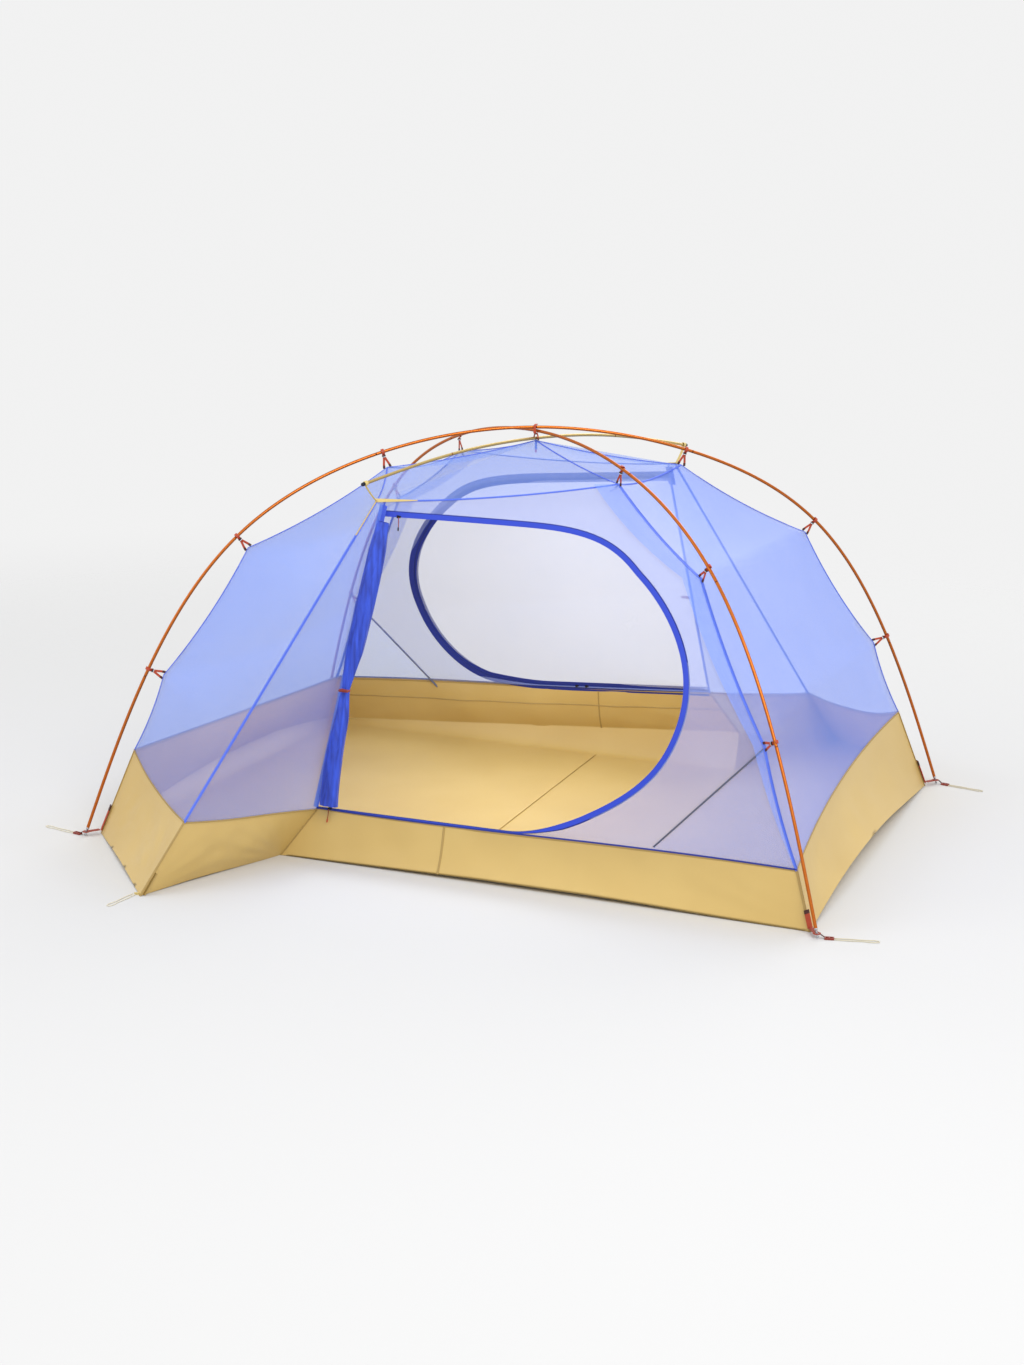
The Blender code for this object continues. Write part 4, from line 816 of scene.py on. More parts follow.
def turned_rows(rows, back):
    rows = [[Vector(tuple(p)) for p in row] for row in rows]
    return [[HALF_TURN @ p for p in row] for row in rows] if back else rows


def outward_rows(rows):
    """The rows, reversed if their faces would point into the tent."""
    i, j = len(rows) // 2, len(rows[0]) // 2
    normal = (rows[i][j + 1] - rows[i][j]).cross(rows[i + 1][j] - rows[i][j])
    return rows if normal.dot(rows[i][j] - INSIDE) > 0.0 else [row[::-1] for row in rows]


canopy = Shape()
for back in (False, True):
    neck, notch_top, tub_top = (BACK_NECK_TOP, BACK_NOTCH_TOP, BACK_TOP) if back else (NECK_TOP, NOTCH_TOP, FRONT_TOP)
    zips = BACK_ZIP if back else FRONT_ZIP
    hinge = heights_of(notch_top, HINGE_TOP, EDGE_A)
    short_top = [RIDGE_CORNER.lerp(HINGE_TOP, i / (WIDE - 1)) for i in range(WIDE)]
    end_right = [HALF_TURN @ p for p in EDGE_A]
    point = [APEX] * WIDE
    sheets = [panel(EDGE_A, RIDGE_SEAM, BAY_TOP, TOP_A, 0.012), panel(RIDGE_SEAM, hinge, neck, short_top, 0.010)]
    sheets.append(panel(EDGE_B, end_right, END_TOP, TOP_END, 0.030))
    sheets.append(panel(PEAK_A, PEAK_R, point, TOP_A, 0.006))
    sheets.append(panel(PEAK_R, PEAK_B, point, TOP_B, 0.008))
    sheets.append(panel(PEAK_B, [HALF_TURN @ p for p in PEAK_A], point, TOP_END, 0.008))
    for number, rows in enumerate(sheets):
        canopy.grid(outward_rows(turned_rows(rows, back)), 2 if number == 2 else 0)
    for inner, outer in zip(zips, (TOP_B, EDGE_B[::-1], tub_top[::-1])):
        rows = []
        for m in range(13):
            share = m / 12
            rows.append([a.lerp(b, share) + Vector((0.0, 0.005 * math.sin(math.pi * share), 0.0)) for a, b in zip(inner, outer)])
        canopy.grid(outward_rows(turned_rows(rows, back)), 1)
cloth = canopy.made("canopy", [SHEER, MESH, SHEER_END], slot="sheer_cloth", merge=0.0006, flat_angle=70.0)
print("canopy", len(cloth.data.polygons), "faces,", round(sum(f.area for f in cloth.data.polygons), 3), "m2")

# %% [markdown]
# ### Corner panels
# Low in each door wall, beside the pole, a triangle of the blue cloth takes the strain that fine mesh
# would not. The wall is split along that diagonal, and the cloth outside it gets the sheer finish.

# %% Corner panels
DIAGONAL = (Vector((0.874, -0.628, 0.438)), Vector((0.820, -0.649, 0.360)), Vector((0.606, -0.693, 0.160)))
shell = bmesh.new()
shell.from_mesh(cloth.data)
for back in (False, True):
    a, b = DIAGONAL[0], DIAGONAL[2]
    cut = (b - a).cross(Vector((0.0, 1.0, 0.0))).normalized()
    if cut.dot(TUB_B - a) < 0.0:
        cut = -cut
    origin = a
    if back:
        origin, cut = HALF_TURN @ a, HALF_TURN.to_3x3() @ cut
    wall = [f for f in shell.faces if f.material_index == 1 and (f.calc_center_median().y < 0.0) != back]
    parts = wall + list({e for f in wall for e in f.edges}) + list({v for f in wall for v in f.verts})
    bmesh.ops.bisect_plane(shell, geom=parts, plane_co=origin, plane_no=cut, dist=0.0001)
    for face in shell.faces:
        middle = face.calc_center_median()
        if face.material_index == 1 and (middle.y < 0.0) != back and (middle - origin).dot(cut) > 0.0:
            face.material_index = 0
shell.to_mesh(cloth.data)
shell.free()
cloth.data.shade_smooth()
cloth.data.set_sharp_from_angle(angle=math.radians(70.0))
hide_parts("roof_panel", "end_panel_left", "end_panel_right", "side_panel_front", "side_panel_back", "door_wall_front", "door_wall_back")
print("faces after the cut", len(cloth.data.polygons))

# %% [markdown]
# ## The bathtub
# The floor and its low walls are one sheet of coated nylon. Its corners are pulled down to the pole feet
# and the bay pegs, and between them the hem lifts off the ground and the wall leans in. Small folds fan
# out from each held corner, so the walls are moved by a noise that is stretched along the wall's height.

# %% Hems and the floor
def hem(stations, lifts, count):
    """The hem between two corners, lifted off the ground between them."""
    start, end = stations
    knots = np.linspace(0.0, 1.0, len(lifts))
    line = []
    for t in np.linspace(0.0, 1.0, count):
        point = start.lerp(end, t)
        line.append(Vector((point.x, point.y, max(point.z, 0.0) + float(np.interp(t, knots, lifts)))))
    return line


LIFT_FRONT = [0.0, 0.003, 0.006, 0.009, 0.012, 0.012, 0.012, 0.009, 0.005, 0.002, 0.0]
LIFT_END = [0.0, 0.020, 0.036, 0.046, 0.050, 0.050, 0.046, 0.036, 0.024, 0.012, 0.0]
LIFT_BAY = [0.0, 0.004, 0.008, 0.010, 0.008, 0.004, 0.0]
LIFT_NECK = [0.0, 0.002, 0.004, 0.004, 0.002, 0.0, 0.0]
HEM_BAY = hem((FLOOR_A, SIDE_PEG), LIFT_BAY, WIDE)
HEM_NECK = hem((SIDE_PEG, NOTCH), LIFT_NECK, WIDE)
HEM_FRONT = hem((NOTCH, FLOOR_B), LIFT_FRONT, FRONT_N)
HEM_BACK_NECK = hem((SIDE_PEG, BACK_NOTCH), LIFT_NECK, WIDE)
HEM_BACK = hem((BACK_NOTCH, FLOOR_B), [0.0] * 11, FRONT_N)
HEM_END = hem((FLOOR_B, HALF_TURN @ FLOOR_A), LIFT_END, WIDE)


def folds(x, y, z, strength):
    """How far a wall's cloth stands in or out, as soft folds that run up and down the wall."""
    near = Vector((x * 9.0, y * 9.0, z * 2.5))
    fine = Vector((x * 26.0, y * 26.0, z * 5.0))
    return strength * (noise.noise(near) + 0.45 * noise.noise(fine))


def fan(point, corners):
    """Small folds that run out from a held corner and fade within a hand's width."""
    total = 0.0
    for corner in corners:
        reach = (point - corner).length
        angle = math.atan2(point.z - corner.z, math.hypot(point.x - corner.x, point.y - corner.y))
        total += 0.0042 * math.sin(26.0 * angle) * math.exp(-reach / 0.16) * (1.0 - math.exp(-reach / 0.03))
    return total


tub = Shape()
HEIGHTS = 21


def tub_wall(foot, top, back, dish):
    left = [foot[0].lerp(top[0], i / (HEIGHTS - 1)) for i in range(HEIGHTS)]
    right_side = [foot[-1].lerp(top[-1], i / (HEIGHTS - 1)) for i in range(HEIGHTS)]
    rows = turned_rows(panel(left, right_side, foot, top, dish), back)
    rows = outward_rows(rows)
    i, j = len(rows) // 2, len(rows[0]) // 2
    normal = (rows[i][j + 1] - rows[i][j]).cross(rows[i + 1][j] - rows[i][j]).normalized()
    n, m = len(rows), len(rows[0])
    low = min((0, -1), key=lambda k: rows[k][m // 2].z)
    corners = (rows[low][0].copy(), rows[low][-1].copy())
    for a in range(1, n - 1):
        for b in range(1, m - 1):
            u, v = b / (m - 1), a / (n - 1)
            calm = min(1.0, 6.0 * u * (1 - u)) * math.sin(math.pi * v)
            p = rows[a][b]
            rows[a][b] = p + normal * ((folds(p.x, p.y, p.z, 0.006) + fan(p, corners)) * calm)
    tub.grid(rows, 0)
    return rows


DOOR_WALLS = []
for back in (False, True):
    tub_wall(HEM_BAY, BAY_TOP, back, 0.012)
    tub_wall(HEM_BACK_NECK if back else HEM_NECK, BACK_NECK_TOP if back else NECK_TOP, back, 0.008)
    DOOR_WALLS.append(tub_wall(HEM_BACK if back else HEM_FRONT, BACK_TOP if back else FRONT_TOP, back, 0.012))
    tub_wall(HEM_END, END_TOP, back, 0.018)


def hem_at(lines, x):
    xs = [p.x for line in lines for p in line]
    order = np.argsort(xs, kind="stable")
    ys, zs = [p.y for line in lines for p in line], [p.z for line in lines for p in line]
    along = np.array(xs)[order]
    return tuple(float(np.interp(x, along, np.array(values)[order])) for values in (ys, zs))


front_hem = [HEM_BAY, HEM_NECK[1:], HEM_FRONT[1:]]
back_hem = [[HALF_TURN @ p for p in line] for line in (HEM_BAY, HEM_BACK_NECK[1:], HEM_BACK[1:])]
xs = sorted({round(p.x, 5) for line in front_hem + back_hem for p in line})
floor_rows = []
for x in xs:
    (y0, z0), (y1, z1) = hem_at(front_hem, x), hem_at(back_hem, x)
    row = []
    for share in [0.5 - 0.5 * math.cos(math.pi * i / 60) for i in range(61)]:
        y = y0 + (y1 - y0) * share
        end_z = float(np.interp((y + 0.725) / 1.45, np.linspace(0, 1, 11), LIFT_END if x > 0 else LIFT_END[::-1]))
        z = max(z0 * max(0.0, 1 - (y - y0) / 0.05) ** 2, z1 * max(0.0, 1 - (y1 - y) / 0.05) ** 2)
        z = max(z, end_z * max(0.0, 1 - (1.035 - abs(x)) / 0.06) ** 2 if abs(y) < 0.725 else 0.0)
        calm = min(1.0, 8.0 * share * (1 - share))
        ripple = 0.0016 * max(0.0, noise.noise(Vector((x * 7.0, y * 7.0, 0.3)))) * calm
        row.append(Vector((x, y, z + ripple)))
    floor_rows.append(row)
tub.grid(floor_rows, 0)
tub_cloth = tub.made("bathtub", [TUB], slot="bathtub_cloth", merge=0.00002, flat_angle=35.0)
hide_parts("bathtub_floor", "bathtub_wall_front", "bathtub_wall_back", "bathtub_wall_left", "bathtub_wall_right")

# %% [markdown]
# ## Seams, bindings and tapes
# Every panel join is bound with a narrow tape, so the tent reads as blue lines on sheer cloth. A tape is a
# flat profile swept along the seam. Its width lies across the seam, square to the way out of the tent.

# %% Tapes along the seams
def outward_sides(line):
    """For each point, the direction across the line that lies in the cloth."""
    sides = []
    for point, t in zip(line, tangents(line)):
        out = point - INSIDE
        sides.append(t.cross(out - t * out.dot(t)).normalized())
    return sides


def tape(shape, line, width, thickness, back=False, slot=0, raise_by=0.0):
    line = [HALF_TURN @ p for p in line] if back else list(line)
    sides = outward_sides(line)
    if raise_by:
        line = [p + s.cross(t) * raise_by for p, s, t in zip(line, sides, tangents(line))]
    shape.sweep(line, sides, band(width, thickness), slot)


def beside(line, offset, back=False):
    """The line moved sideways in the cloth, for a row of stitches."""
    line = [HALF_TURN @ p for p in line] if back else list(line)
    return [p + s * offset for p, s in zip(line, outward_sides(line))]


def clear_of_clips(line):
    """The stretches of a line that keep clear of the clips' feet, which swing close over the cloth."""
    runs, run = [], []
    for point in line:
        if min((point - clip).length for clip in CLIP_POINTS) > 0.034:
            run.append(point)
        else:
            runs.append(run)
            run = []
    return [r for r in [*runs, run] if len(r) > 2]


CLIP_POINTS = [Vector(joint["pos_m"]) for name, joint in JOINTS.items() if name.endswith("_unhook")]
seams, blue_rows, sand_rows, FLOOR_SEAM = Shape(), [], [], []
for back in (False, True):
    notch_top = BACK_NOTCH_TOP if back else NOTCH_TOP
    neck, tub_top = (BACK_NECK_TOP, BACK_TOP) if back else (NECK_TOP, FRONT_TOP)
    hinge = [notch_top.lerp(HINGE_TOP, i / 40) for i in range(41)]
    for line, width in ((EDGE_A, 0.006), (EDGE_B, 0.009), (RIDGE_SEAM, 0.011), (TOP_A, 0.005), (TOP_B, 0.006),
                        (TOP_END, 0.006), (PEAK_A, 0.005), (PEAK_B, 0.006)):
        inside = back and line is RIDGE_SEAM
        tape(seams, line, width, 0.0016, back, 0, -0.0016 if inside else 0.0)
        if not inside:
            blue_rows += clear_of_clips(beside(line, width * 0.28, back))
    tape(seams, hinge, 0.007, 0.0018, back, 0, -0.0012 if back else 0.0)
    if not back:
        blue_rows.append(beside(hinge, 0.002, back))
    for line in (BAY_TOP, neck, tub_top, END_TOP):
        tape(seams, line, 0.009, 0.0018, back, 1)
        sand_rows.append(beside(line, 0.0028, back))
    tape(seams, [p + Vector((0, -0.002, 0.004)) for p in tub_top], 0.005, 0.0016, back, 2)
    slant = [DIAGONAL[0].lerp(DIAGONAL[2], i / 24) for i in range(25)]
    slant = [Vector((p.x, wall_depth(NOTCH_TOP, p.x, p.z) + 0.001, p.z)) for p in slant]
    tape(seams, slant, 0.006, 0.0018, back, 3)
    strip = []
    for edge in EDGE_B[::2]:
        wide = float(np.interp(edge.z, (0.16, 0.44, 1.02), (0.004, 0.030, 0.060)))
        row = []
        for k in range(5):
            x = edge.x - wide * k / 4
            row.append(Vector((x, edge.y + (wall_depth(NOTCH_TOP, x, edge.z) - edge.y) * min(1.0, k / 2) - 0.0012, edge.z)))
        strip.append(row)
    seams.grid(outward_rows(turned_rows(strip, back)), 4)
    for foot, top in ((SIDE_PEG, SIDE_TOP), (BACK_NOTCH if back else NOTCH, notch_top), (FLOOR_B, TUB_B), (FLOOR_A, TUB_A)):
        tape(seams, [foot.lerp(top, i / 12) for i in range(13)], 0.008, 0.0018, back, 1)
        sand_rows.append(beside([foot.lerp(top, i / 12) for i in range(13)], 0.0025, back))
    start = HALF_TURN @ BACK_NOTCH if back else NOTCH
    wall = DOOR_WALLS[int(back)]
    wall = wall if wall[0][5].z < wall[-1][5].z else wall[::-1]
    wall = [row if (row[0] - start).length < (row[-1] - start).length else row[::-1] for row in wall]
    columns = [19.0 - 2.0 * k / (HEIGHTS - 1) for k in range(HEIGHTS)]
    rise = [wall[k][int(c)].lerp(wall[k][int(c) + 1], c - int(c)) for k, c in enumerate(columns)]
    tape(seams, rise, 0.006, 0.0018, False, 1, 0.0006)
    FLOOR_SEAM.append(rise[0])
    if back:
        tape(seams, wall[round(0.62 * (HEIGHTS - 1))], 0.004, 0.0018, False, 1, 0.0)
ends = [FLOOR_SEAM[0].lerp(FLOOR_SEAM[1], t) for t in (0.045, 0.955)]
across = [ends[0].lerp(ends[1], i / 30) for i in range(31)]
across = [Vector((p.x, p.y, 0.0030)) for p in across]
seams.sweep(across, [t.cross(UP).normalized() for t in tangents(across)], band(0.005, 0.0014), 5)
seam_piece = seams.made("bound_seams", [SEAM_BLUE, SEAM_SAND, TAPE_NAVY, SEAM_GREY, SHEER, TUB], slot="sheer_cloth")
print("seams", len(seam_piece.data.polygons), "faces")

# %% [markdown]
# ### Stitches
# A tape is held by a row of lockstitches. Real ones are about 3 mm long. Here they are 5 mm apart, so that
# they show as a broken line.

# %% Stitch rows
blocks_along("stitches_blue", blue_rows, 0.0052, (0.0009, 0.0026, 0.0034), THREAD_BLUE)
blocks_along("stitches_sand", sand_rows, 0.0052, (0.0009, 0.0026, 0.0034), THREAD_SAND)

# %% [markdown]
# ## The zips
# A zip is a coil of nylon teeth between two woven tapes. On the wall a flap of folded cloth, wider on the
# back door, shields it. The coil's teeth come from the same block tree as the stitches.

# %% Zips on the walls
def zip_sides(line):
    """Across the zip, away from the door's middle, and the way out through the wall."""
    ups, sides = [], []
    out = Vector((0.16, -0.95, 0.27)).normalized()
    for t in tangents(line):
        up = (out - t * out.dot(t)).normalized()
        sides.append(up.cross(t).normalized())
        ups.append(up)
    return sides, ups


def whole(runs):
    return [*runs[0], *runs[1][1:], *runs[2][1:]]


def zip_piece(name, runs, back, flap_width, flap_finish, replaced, sill_share):
    line = whole(runs)
    sides, ups = zip_sides(line)
    middle = Vector((0.10, -0.60, 0.50))
    if (line[len(line) // 2] - middle).dot(sides[len(line) // 2]) < 0.0:
        sides = [-s for s in sides]
    place = HALF_TURN if back else Matrix.Identity(4)
    spin = place.to_3x3()
    shape = Shape()
    thin = [float(np.interp(p.z, (0.150, 0.185), (sill_share, 1.0))) for p in line]
    flap = [place @ (p + s * (flap_width / 2.0 - 0.002) * k + u * 0.0014) for p, s, u, k in zip(line, sides, ups, thin)]
    shape.sweep(flap, [spin @ s for s in sides], band(flap_width, 0.0012), 0, thin, [spin @ u for u in ups])
    under = [place @ (p + s * (flap_width / 2.0) * k - u * 0.0008) for p, s, u, k in zip(line, sides, ups, thin)]
    shape.sweep(under, [spin @ s for s in sides], band(flap_width + 0.002, 0.0010), 1, thin, [spin @ u for u in ups])
    coil = [place @ p for p in line]
    shape.tube(coil, 0.0014, 1, 10)
    piece = shape.made(name + "_tapes", [flap_finish, TAPE_NAVY], slot="zip_tape")
    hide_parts(replaced)
    blocks_along(name + "_teeth", [coil], 0.0030, (0.0034, 0.0030, 0.0013), NAVY_PLASTIC)
    return line, sides, ups


zip_piece("zip_front", FRONT_ZIP, False, 0.014, TAPE_BLUE, "zipper_front", 0.3)
BACK = zip_piece("zip_back", BACK_ZIP, True, 0.017, TAPE_NAVY, "zipper_back", 1.0)
print("zips done")

# %% [markdown]
# ## The closed back door
# The back door is one sheet of the pale mesh inside its zip. It swings on its hinge seam, so it rides on
# its own body, with its own half of the zip's tape along the edge and a band of blue cloth at the hinge.

# %% Back door leaf
outline = whole(BACK_ZIP)
low_hinge = at_height(BACK_NOTCH_TOP, HINGE_TOP, 0.253)
high_hinge = at_height(BACK_NOTCH_TOP, HINGE_TOP, 0.941)
leaf_n, leaf_m = 113, 33
inset = [p - s * 0.004 for p, s in zip(outline, BACK[1])]
far_edge = spaced(inset, leaf_n)
near_edge = [high_hinge.lerp(low_hinge, i / (leaf_n - 1)) for i in range(leaf_n)]
rows = []
for a, b in zip(near_edge, far_edge):
    row = []
    for j in range(leaf_m):
        u = j / (leaf_m - 1)
        row.append(HALF_TURN @ (a.lerp(b, u) + Vector((0.0, 0.006 * math.sin(math.pi * u), 0.0))))
    rows.append(row)
leaf = Shape()
leaf.grid(outward_rows(rows), 0)
door = leaf.made("back_door_mesh", [LEAF], "back_door", "door_cloth", merge=0.0004, flat_angle=70.0)
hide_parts("door_back")
trim = Shape()
spin = HALF_TURN.to_3x3()
edge_line = [HALF_TURN @ (p - s * 0.0078) for p, s in zip(outline, BACK[1])]
trim.sweep(edge_line, [spin @ s for s in BACK[1]], band(0.012, 0.0010), 0, ups=[spin @ u for u in BACK[2]])
hinge_line = [HALF_TURN @ (p + Vector((0.004, 0.0, 0.0))) for p in near_edge[3:-3]]
trim.sweep(hinge_line, outward_sides(hinge_line), band(0.006, 0.0012), 1)
trim.made("back_door_trim", [TAPE_NAVY, BAND_BLUE], "back_door", "door_cloth")

# %% [markdown]
# ## The rolled front door
# The open door is rolled up against its hinge and held by a toggle. It is the same piece of cloth as the
# back door, wound up in turns, so it is made as a real spiral sheet. The toggle draws it in at one place,
# and the folds fan out above and below it.

# %% Rolled door
ROLL = ((0.931, 0.0165, 0.0), (0.86, 0.0245, 0.0), (0.72, 0.0270, 0.0), (0.58, 0.0245, 0.0), (0.478, 0.0105, -0.004),
        (0.40, 0.0200, 0.002), (0.28, 0.0255, 0.010), (0.157, 0.0265, 0.024))
stations = []
for z, _, shift in ROLL:
    stations.append(at_height(NOTCH_TOP, HINGE_TOP, z) + Vector((0.024 + shift, -0.030, 0.0)))
roll_line = spline(stations, 121)
roll_heights = [z for z, _, _ in reversed(ROLL)]
roll_radii = [r for _, r, _ in reversed(ROLL)]
sides = carried_sides(roll_line, Vector((1.0, 0.0, 0.0)))
TURNS, PER_TURN = 9.5, 32
count = int(TURNS * PER_TURN)
rows = []
for i, (point, side, t) in enumerate(zip(roll_line, sides, tangents(roll_line))):
    up = t.cross(side)
    size = float(np.interp(point.z, roll_heights, roll_radii))
    pinch = math.exp(-((point.z - 0.478) / 0.07) ** 2)
    row = []
    for k in range(count + 1):
        share = k / count
        angle = 2.0 * math.pi * TURNS * share + 0.9 + 0.5 * noise.noise(Vector((point.z * 4.0, 0.0, 7.0)))
        lobes = 0.20 * math.sin(3.0 * angle + 5.0 * noise.noise(Vector((point.z * 3.0, 1.0, 3.0))))
        lobes += (0.13 + 0.14 * pinch) * math.sin(6.0 * angle + 7.0 * noise.noise(Vector((point.z * 2.0, 4.0, 5.0))))
        radius = size * (0.16 + 0.72 * share) * (1.0 + lobes * share * 0.72)
        row.append(point + side * (math.cos(angle) * radius * 1.06) + up * (math.sin(angle) * radius * 0.9))
    rows.append(row)
roll = Shape()
roll.grid([row[::-1] for row in rows], 0)
# Its finish paints dark streaks of shade up the roll, in the folds.
rolled = roll.made("front_door_rolled", [ROYAL_WITH_PAINTED_FOLD_SHADE], slot="door_cloth", flat_angle=80.0)
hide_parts("door_front_rolled")
ROLL_AREA = round(sum(f.area for f in rolled.data.polygons), 2)
tie = Shape()
pinch_point = min(roll_line, key=lambda p: abs(p.z - 0.478))
k = roll_line.index(pinch_point)
ring = []
for a in np.linspace(0.0, 2.0 * math.pi, 49):
    ring.append(pinch_point + sides[k] * (math.cos(a) * 0.0118) + tangents(roll_line)[k].cross(sides[k]) * (math.sin(a) * 0.0112))
tie.sweep(ring, [tangents(roll_line)[k]] * 49, band(0.005, 0.0014), 0)
tie.made("front_roll_tie", [RUST_WEB], slot="clip_plastic")
print("roll", len(rolled.data.polygons), "faces,", ROLL_AREA, "m2")

# %% [markdown]
# ### Hinge bands
# Down each door's hinge runs a folded band of the blue cloth, edged with a dark line of binding. A doubled
# patch of royal cloth strengthens its top.

# %% Hinge bands and patches
bands = Shape()
for back in (False, True):
    notch_top = BACK_NOTCH_TOP if back else NOTCH_TOP
    line = [notch_top.lerp(HINGE_TOP, 0.005 + 0.985 * i / 40) for i in range(41)]
    if not back:
        tape(bands, [p + Vector((-0.009, 0.004, 0.0)) for p in line], 0.015, 0.0012, back, 1)
    tape(bands, line[-4:], 0.030, 0.0016, back, 0, 0.001)
    corner_patch = spline([RIDGE_CORNER + Vector((-0.004, -0.001, 0.002)), RIDGE_CORNER.lerp(TOP_B[6], 0.5) + UP * 0.001, TOP_B[5] + UP * 0.0005], 14)
    patch = [HALF_TURN @ p for p in corner_patch] if back else corner_patch
    bands.sweep(patch, outward_sides(patch), band(0.016, 0.0014), 2, scales=[1.0 - 0.75 * i / 13 for i in range(14)])
    strip = [RIDGE_CORNER.lerp(SIDE_TOP, 0.11 * i / 9) + UP * 0.001 for i in range(10)]
    tape(bands, strip, 0.006, 0.0022, back, 2)
bands.made("hinge_bands", [ROYAL, BAND_BLUE, SAND_WEB], slot="door_cloth")
print("bands done")

# %% [markdown]
# ## Sliders and pulls
# Each slider is a small die-cast body over the coil with a bridge on its face. A short cord is tied
# through the bridge, and a moulded end stops it from fraying.

# %% Sliders
def slider(name, line, up, finish_end):
    low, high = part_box(name)
    middle = Vector(((low.x + high.x) / 2, (low.y + high.y) / 2))
    place = min(line, key=lambda p: (Vector((p.x, p.y)) - middle).length + abs(p.z - (high.z - 0.004)))
    near = line.index(place)
    t = tangents(line)[near]
    out = (up - t * up.dot(t)).normalized()
    side = out.cross(t)
    shape = Shape()
    body = [place + t * s for s in np.linspace(-0.0060, 0.0060, 13)]
    widths = [0.0040 * (0.72 + 0.28 * math.cos(math.pi * (i - 3) / 12)) for i in range(13)]
    shape.sweep(body, [side] * 13, [(-1, -0.8), (-0.8, -1), (0.8, -1), (1, -0.8), (1, 0.8), (0.8, 1), (-0.8, 1), (-1, 0.8)], 0, scales=widths)
    bridge = [place + t * (0.0042 * math.cos(a)) + out * (0.0036 + 0.0026 * math.sin(a)) for a in np.linspace(0.0, math.pi, 17)]
    shape.sweep(bridge, [side] * 17, band(0.0022, 0.0010), 0)
    start = place + out * 0.0052
    pull = [start, start + out * 0.0018 - UP * 0.0020, start + out * 0.0030 - UP * 0.0080]
    tail = pull[-1] + (out * 0.30 - UP) .normalized() * 0.020
    cord = spline([*pull, tail], 26)
    shape.tube(cord, 0.0011, 1, 10)
    end = cord[-1]
    down = (cord[-1] - cord[-2]).normalized()
    turned_piece(shape, end, down, [(0.00001, -0.001), (0.0017, -0.0005), (0.0021, 0.001), (0.0021, 0.0075), (0.0015, 0.0092), (0.00001, 0.0096)], 2, 20)
    made = shape.made(name + "_piece", [DARK_METAL, CORD_RUST, finish_end], name, "slider_metal")
    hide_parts(name)


front_line = whole(FRONT_ZIP)
back_line = [HALF_TURN @ p for p in whole(BACK_ZIP)]
slider("slider_front_top", front_line, Vector((0, -1, 0)), BLACK_PLASTIC)
slider("slider_front_sill", front_line, Vector((0, -1, 0)), RUST_PLASTIC)
slider("slider_back_right", back_line, Vector((0, 1, 0)), RUST_PLASTIC)
slider("slider_back_left", back_line, Vector((0, 1, 0)), RUST_PLASTIC)
print("4 sliders")

# %% [markdown]
# ## Corner fittings, toggles and buckles
# The webbing rings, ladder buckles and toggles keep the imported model's true shapes. They get the finishes
# of woven webbing and moulded acetal, which read Object coordinates, because these nodes have no cloth
# coordinates of their own.

# %% Finishes for the kept nodes
def object_weave(name, colour, shade, thread):
    made, tree, shader = new_finish(name, colour, 0.62)
    here = add(tree, "ShaderNodeTexCoord")
    warp = add(tree, "ShaderNodeTexWave", {"Vector": here.outputs["Object"], "Scale": WAVE_PERIOD / thread}, bands_direction="DIAGONAL")
    mixed = add(tree, "ShaderNodeMix", {0: warp.outputs["Fac"], 6: linear(shade), 7: linear(colour)}, data_type="RGBA")
    tree.links.new(mixed.outputs[2], shader.inputs["Base Color"])
    height = add(tree, "ShaderNodeBump", {"Height": warp.outputs["Fac"], "Strength": 0.4, "Distance": 0.0003})
    tree.links.new(height.outputs["Normal"], shader.inputs["Normal"])
    return made


RUST_NODE = object_weave("woven_polyester_rust", "9E3416", "7E2810", 0.0012)
RED_PLASTIC = moulded("moulded_acetal_deep_rust", "8E2E18", "7C2612", 0.4)
for name, node in frame["nodes"].items():
    kept = RUST_NODE if name.startswith("corner_strap") else RED_PLASTIC if name.startswith(("buckle", "toggle")) else None
    if kept:
        node.data.materials.clear()
        node.data.materials.append(kept)
print("kept nodes finished")


# %% Webbing at the corners
corners = Shape()
for sx, sy in ((-1, -1), (1, -1), (1, 1), (-1, 1)):
    corner = Vector((sx * 1.035, sy * 0.725, 0.0))
    top = TUB_A if sx * sy > 0 else TUB_B
    rise = Vector((sx * abs(top.x), sy * abs(top.y), top.z)) - corner
    strap = [corner + UP * 0.010 + rise * s for s in np.linspace(0.0, 0.30, 12)]
    corners.sweep(strap, outward_sides(strap), band(0.016, 0.0026), 0)
    box_end = [corner + UP * 0.010 + rise * s for s in (0.24, 0.27, 0.30)]
    corners.sweep(box_end, outward_sides(box_end), band(0.0166, 0.0034), 1)
    foot = Vector((sx * FOOT.x, sy * FOOT.y, 0.0))
    heading = Vector((sx * 0.976, sy * -0.217, 0.0)).normalized()
    side = Vector((-heading.y, heading.x, 0.0))
    loop = [foot + heading * (0.0055 + 0.0125 * i / 9) + UP * (0.0120 - 0.0085 * (i / 9)) for i in range(10)]
    corners.sweep(loop, [side] * 10, band(0.007, 0.0012), 1)
for back in (False, True):
    base = SIDE_PEG + Vector((0.004, 0.010, 0.002))
    patch = [base.lerp(SIDE_TOP, s) for s in np.linspace(0.0, 0.30, 10)]
    tape(corners, patch, 0.020, 0.0024, back, 2)
    eye_start = SIDE_PEG + Vector((-0.019, 0.004, 0.0022))
    eye_loop = [eye_start + Vector((0.020 * s, 0.004 * s, 0.001 * s)) for s in np.linspace(0.0, 1.0, 8)]
    tape(corners, eye_loop, 0.010, 0.0014, back, 3)
    drops = ((-0.004, 0.006, -0.003), (-0.016, 0.012, -0.016), (-0.030, 0.016, -0.024))
    hang = spline([B_CLIPS[2] + Vector(drop) for drop in drops], 12)
    tape(corners, hang, 0.008, 0.0014, back, 1)
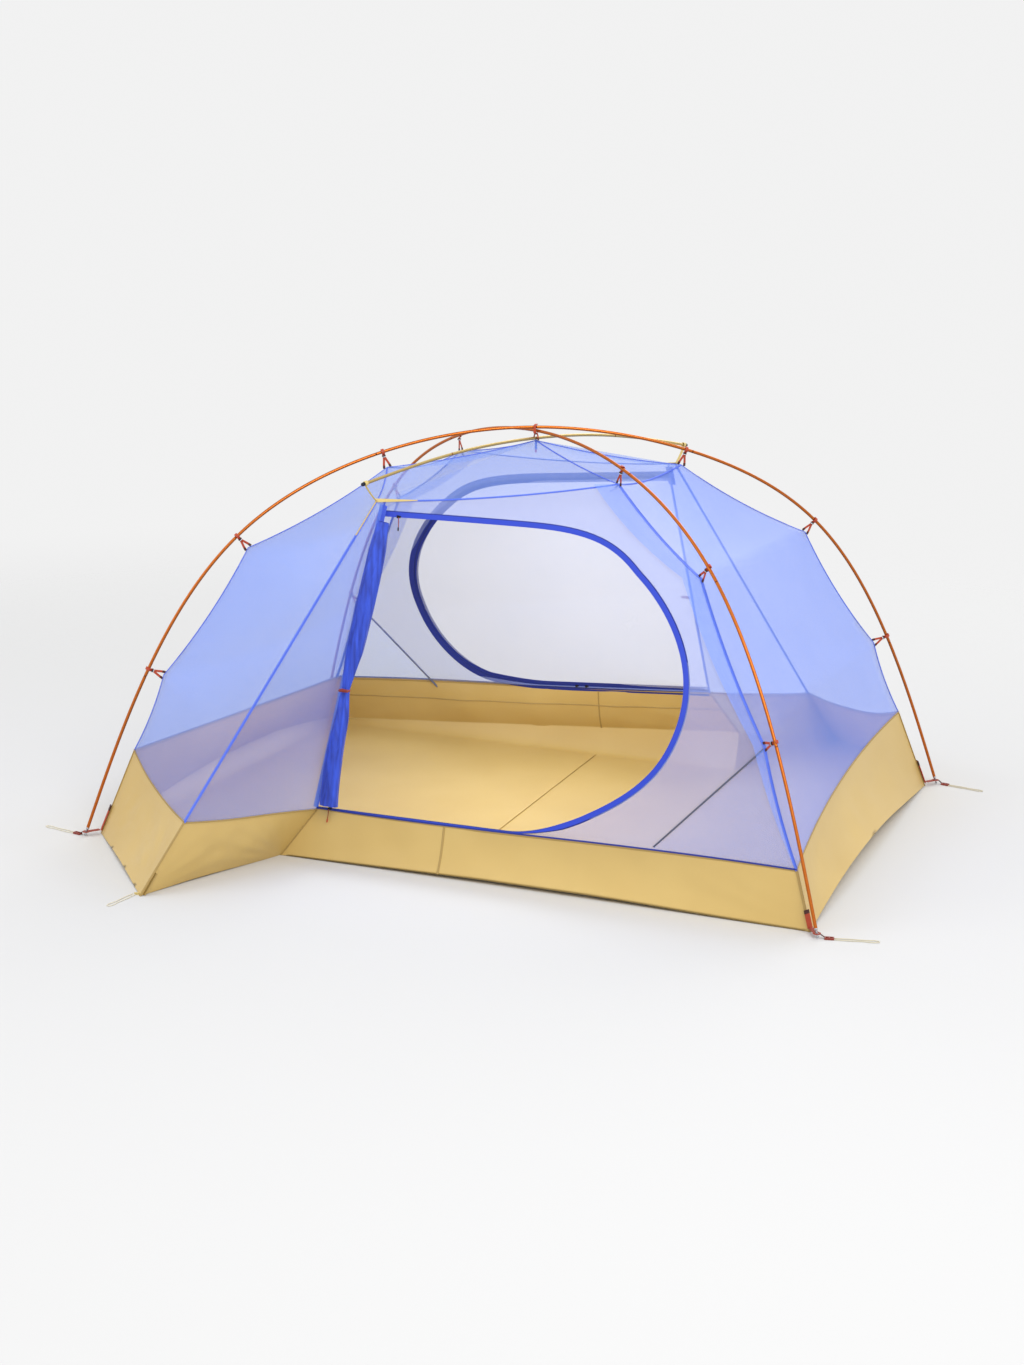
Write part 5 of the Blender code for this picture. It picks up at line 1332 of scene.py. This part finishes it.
corners.made("corner_webbing", [RUST_WEB, THREAD_DARK, SEAM_SAND, SAND_WEB], slot="rust_webbing")
print("corner webbing done")

# %% [markdown]
# ## Floor and light
# The tent stands on a plain pale floor that fades into the same pale surroundings. Large soft lights from
# above and from both sides let the sheer cloth glow, as on a studio's white sweep.

# %% Floor, surroundings and lights
floor_finish, tree, shader = new_finish("studio_floor_pale", "D2D2D2", 0.9, {"Specular IOR Level": 0.1})
here = add(tree, "ShaderNodeTexCoord")
far = add(tree, "ShaderNodeVectorMath", {0: here.outputs["Object"]}, operation="LENGTH")
fade_range = {"Value": far.outputs["Value"], "From Min": 2.0, "From Max": 5.5, "To Min": 1.0, "To Max": 0.0}
fade = add(tree, "ShaderNodeMapRange", fade_range, interpolation_type="SMOOTHSTEP")
tree.links.new(fade.outputs[0], shader.inputs["Alpha"])
bpy.ops.mesh.primitive_circle_add(vertices=96, radius=6.0, fill_type="NGON", location=(0, 0, -0.0004))
floor = bpy.context.object
floor.name = "studio_floor"
floor.data.materials.append(floor_finish)
world = bpy.data.worlds.new("studio")
world.use_nodes = True
world.node_tree.nodes["Background"].inputs["Color"].default_value = (0.885, 0.885, 0.885, 1.0)
world.node_tree.nodes["Background"].inputs["Strength"].default_value = 1.0
bpy.context.scene.world = world


def soft_light(name, place, aim, size, power):
    lamp = bpy.data.lights.new(name, "AREA")
    lamp.shape, lamp.size, lamp.energy = "DISK", size, power
    holder = bpy.data.objects.new(name, lamp)
    bpy.context.scene.collection.objects.link(holder)
    holder.location = place
    holder.visible_camera = False
    holder.rotation_euler = (Vector(aim) - Vector(place)).to_track_quat("-Z", "Y").to_euler()


soft_light("key_light", (4.2, -5.0, 5.5), (0, 0, 0.5), 4.5, 300.0)
soft_light("fill_light", (-5.0, -4.0, 4.5), (0, 0, 0.5), 4.5, 90.0)
soft_light("back_light", (0.5, 5.5, 5.0), (0, 0, 0.5), 4.5, 130.0)
soft_light("inner_glow", (0.0, 0.0, 0.86), (0, 0, 0.0), 0.6, 6.0)
bpy.data.objects["inner_glow"].visible_glossy = False
print("stage ready")
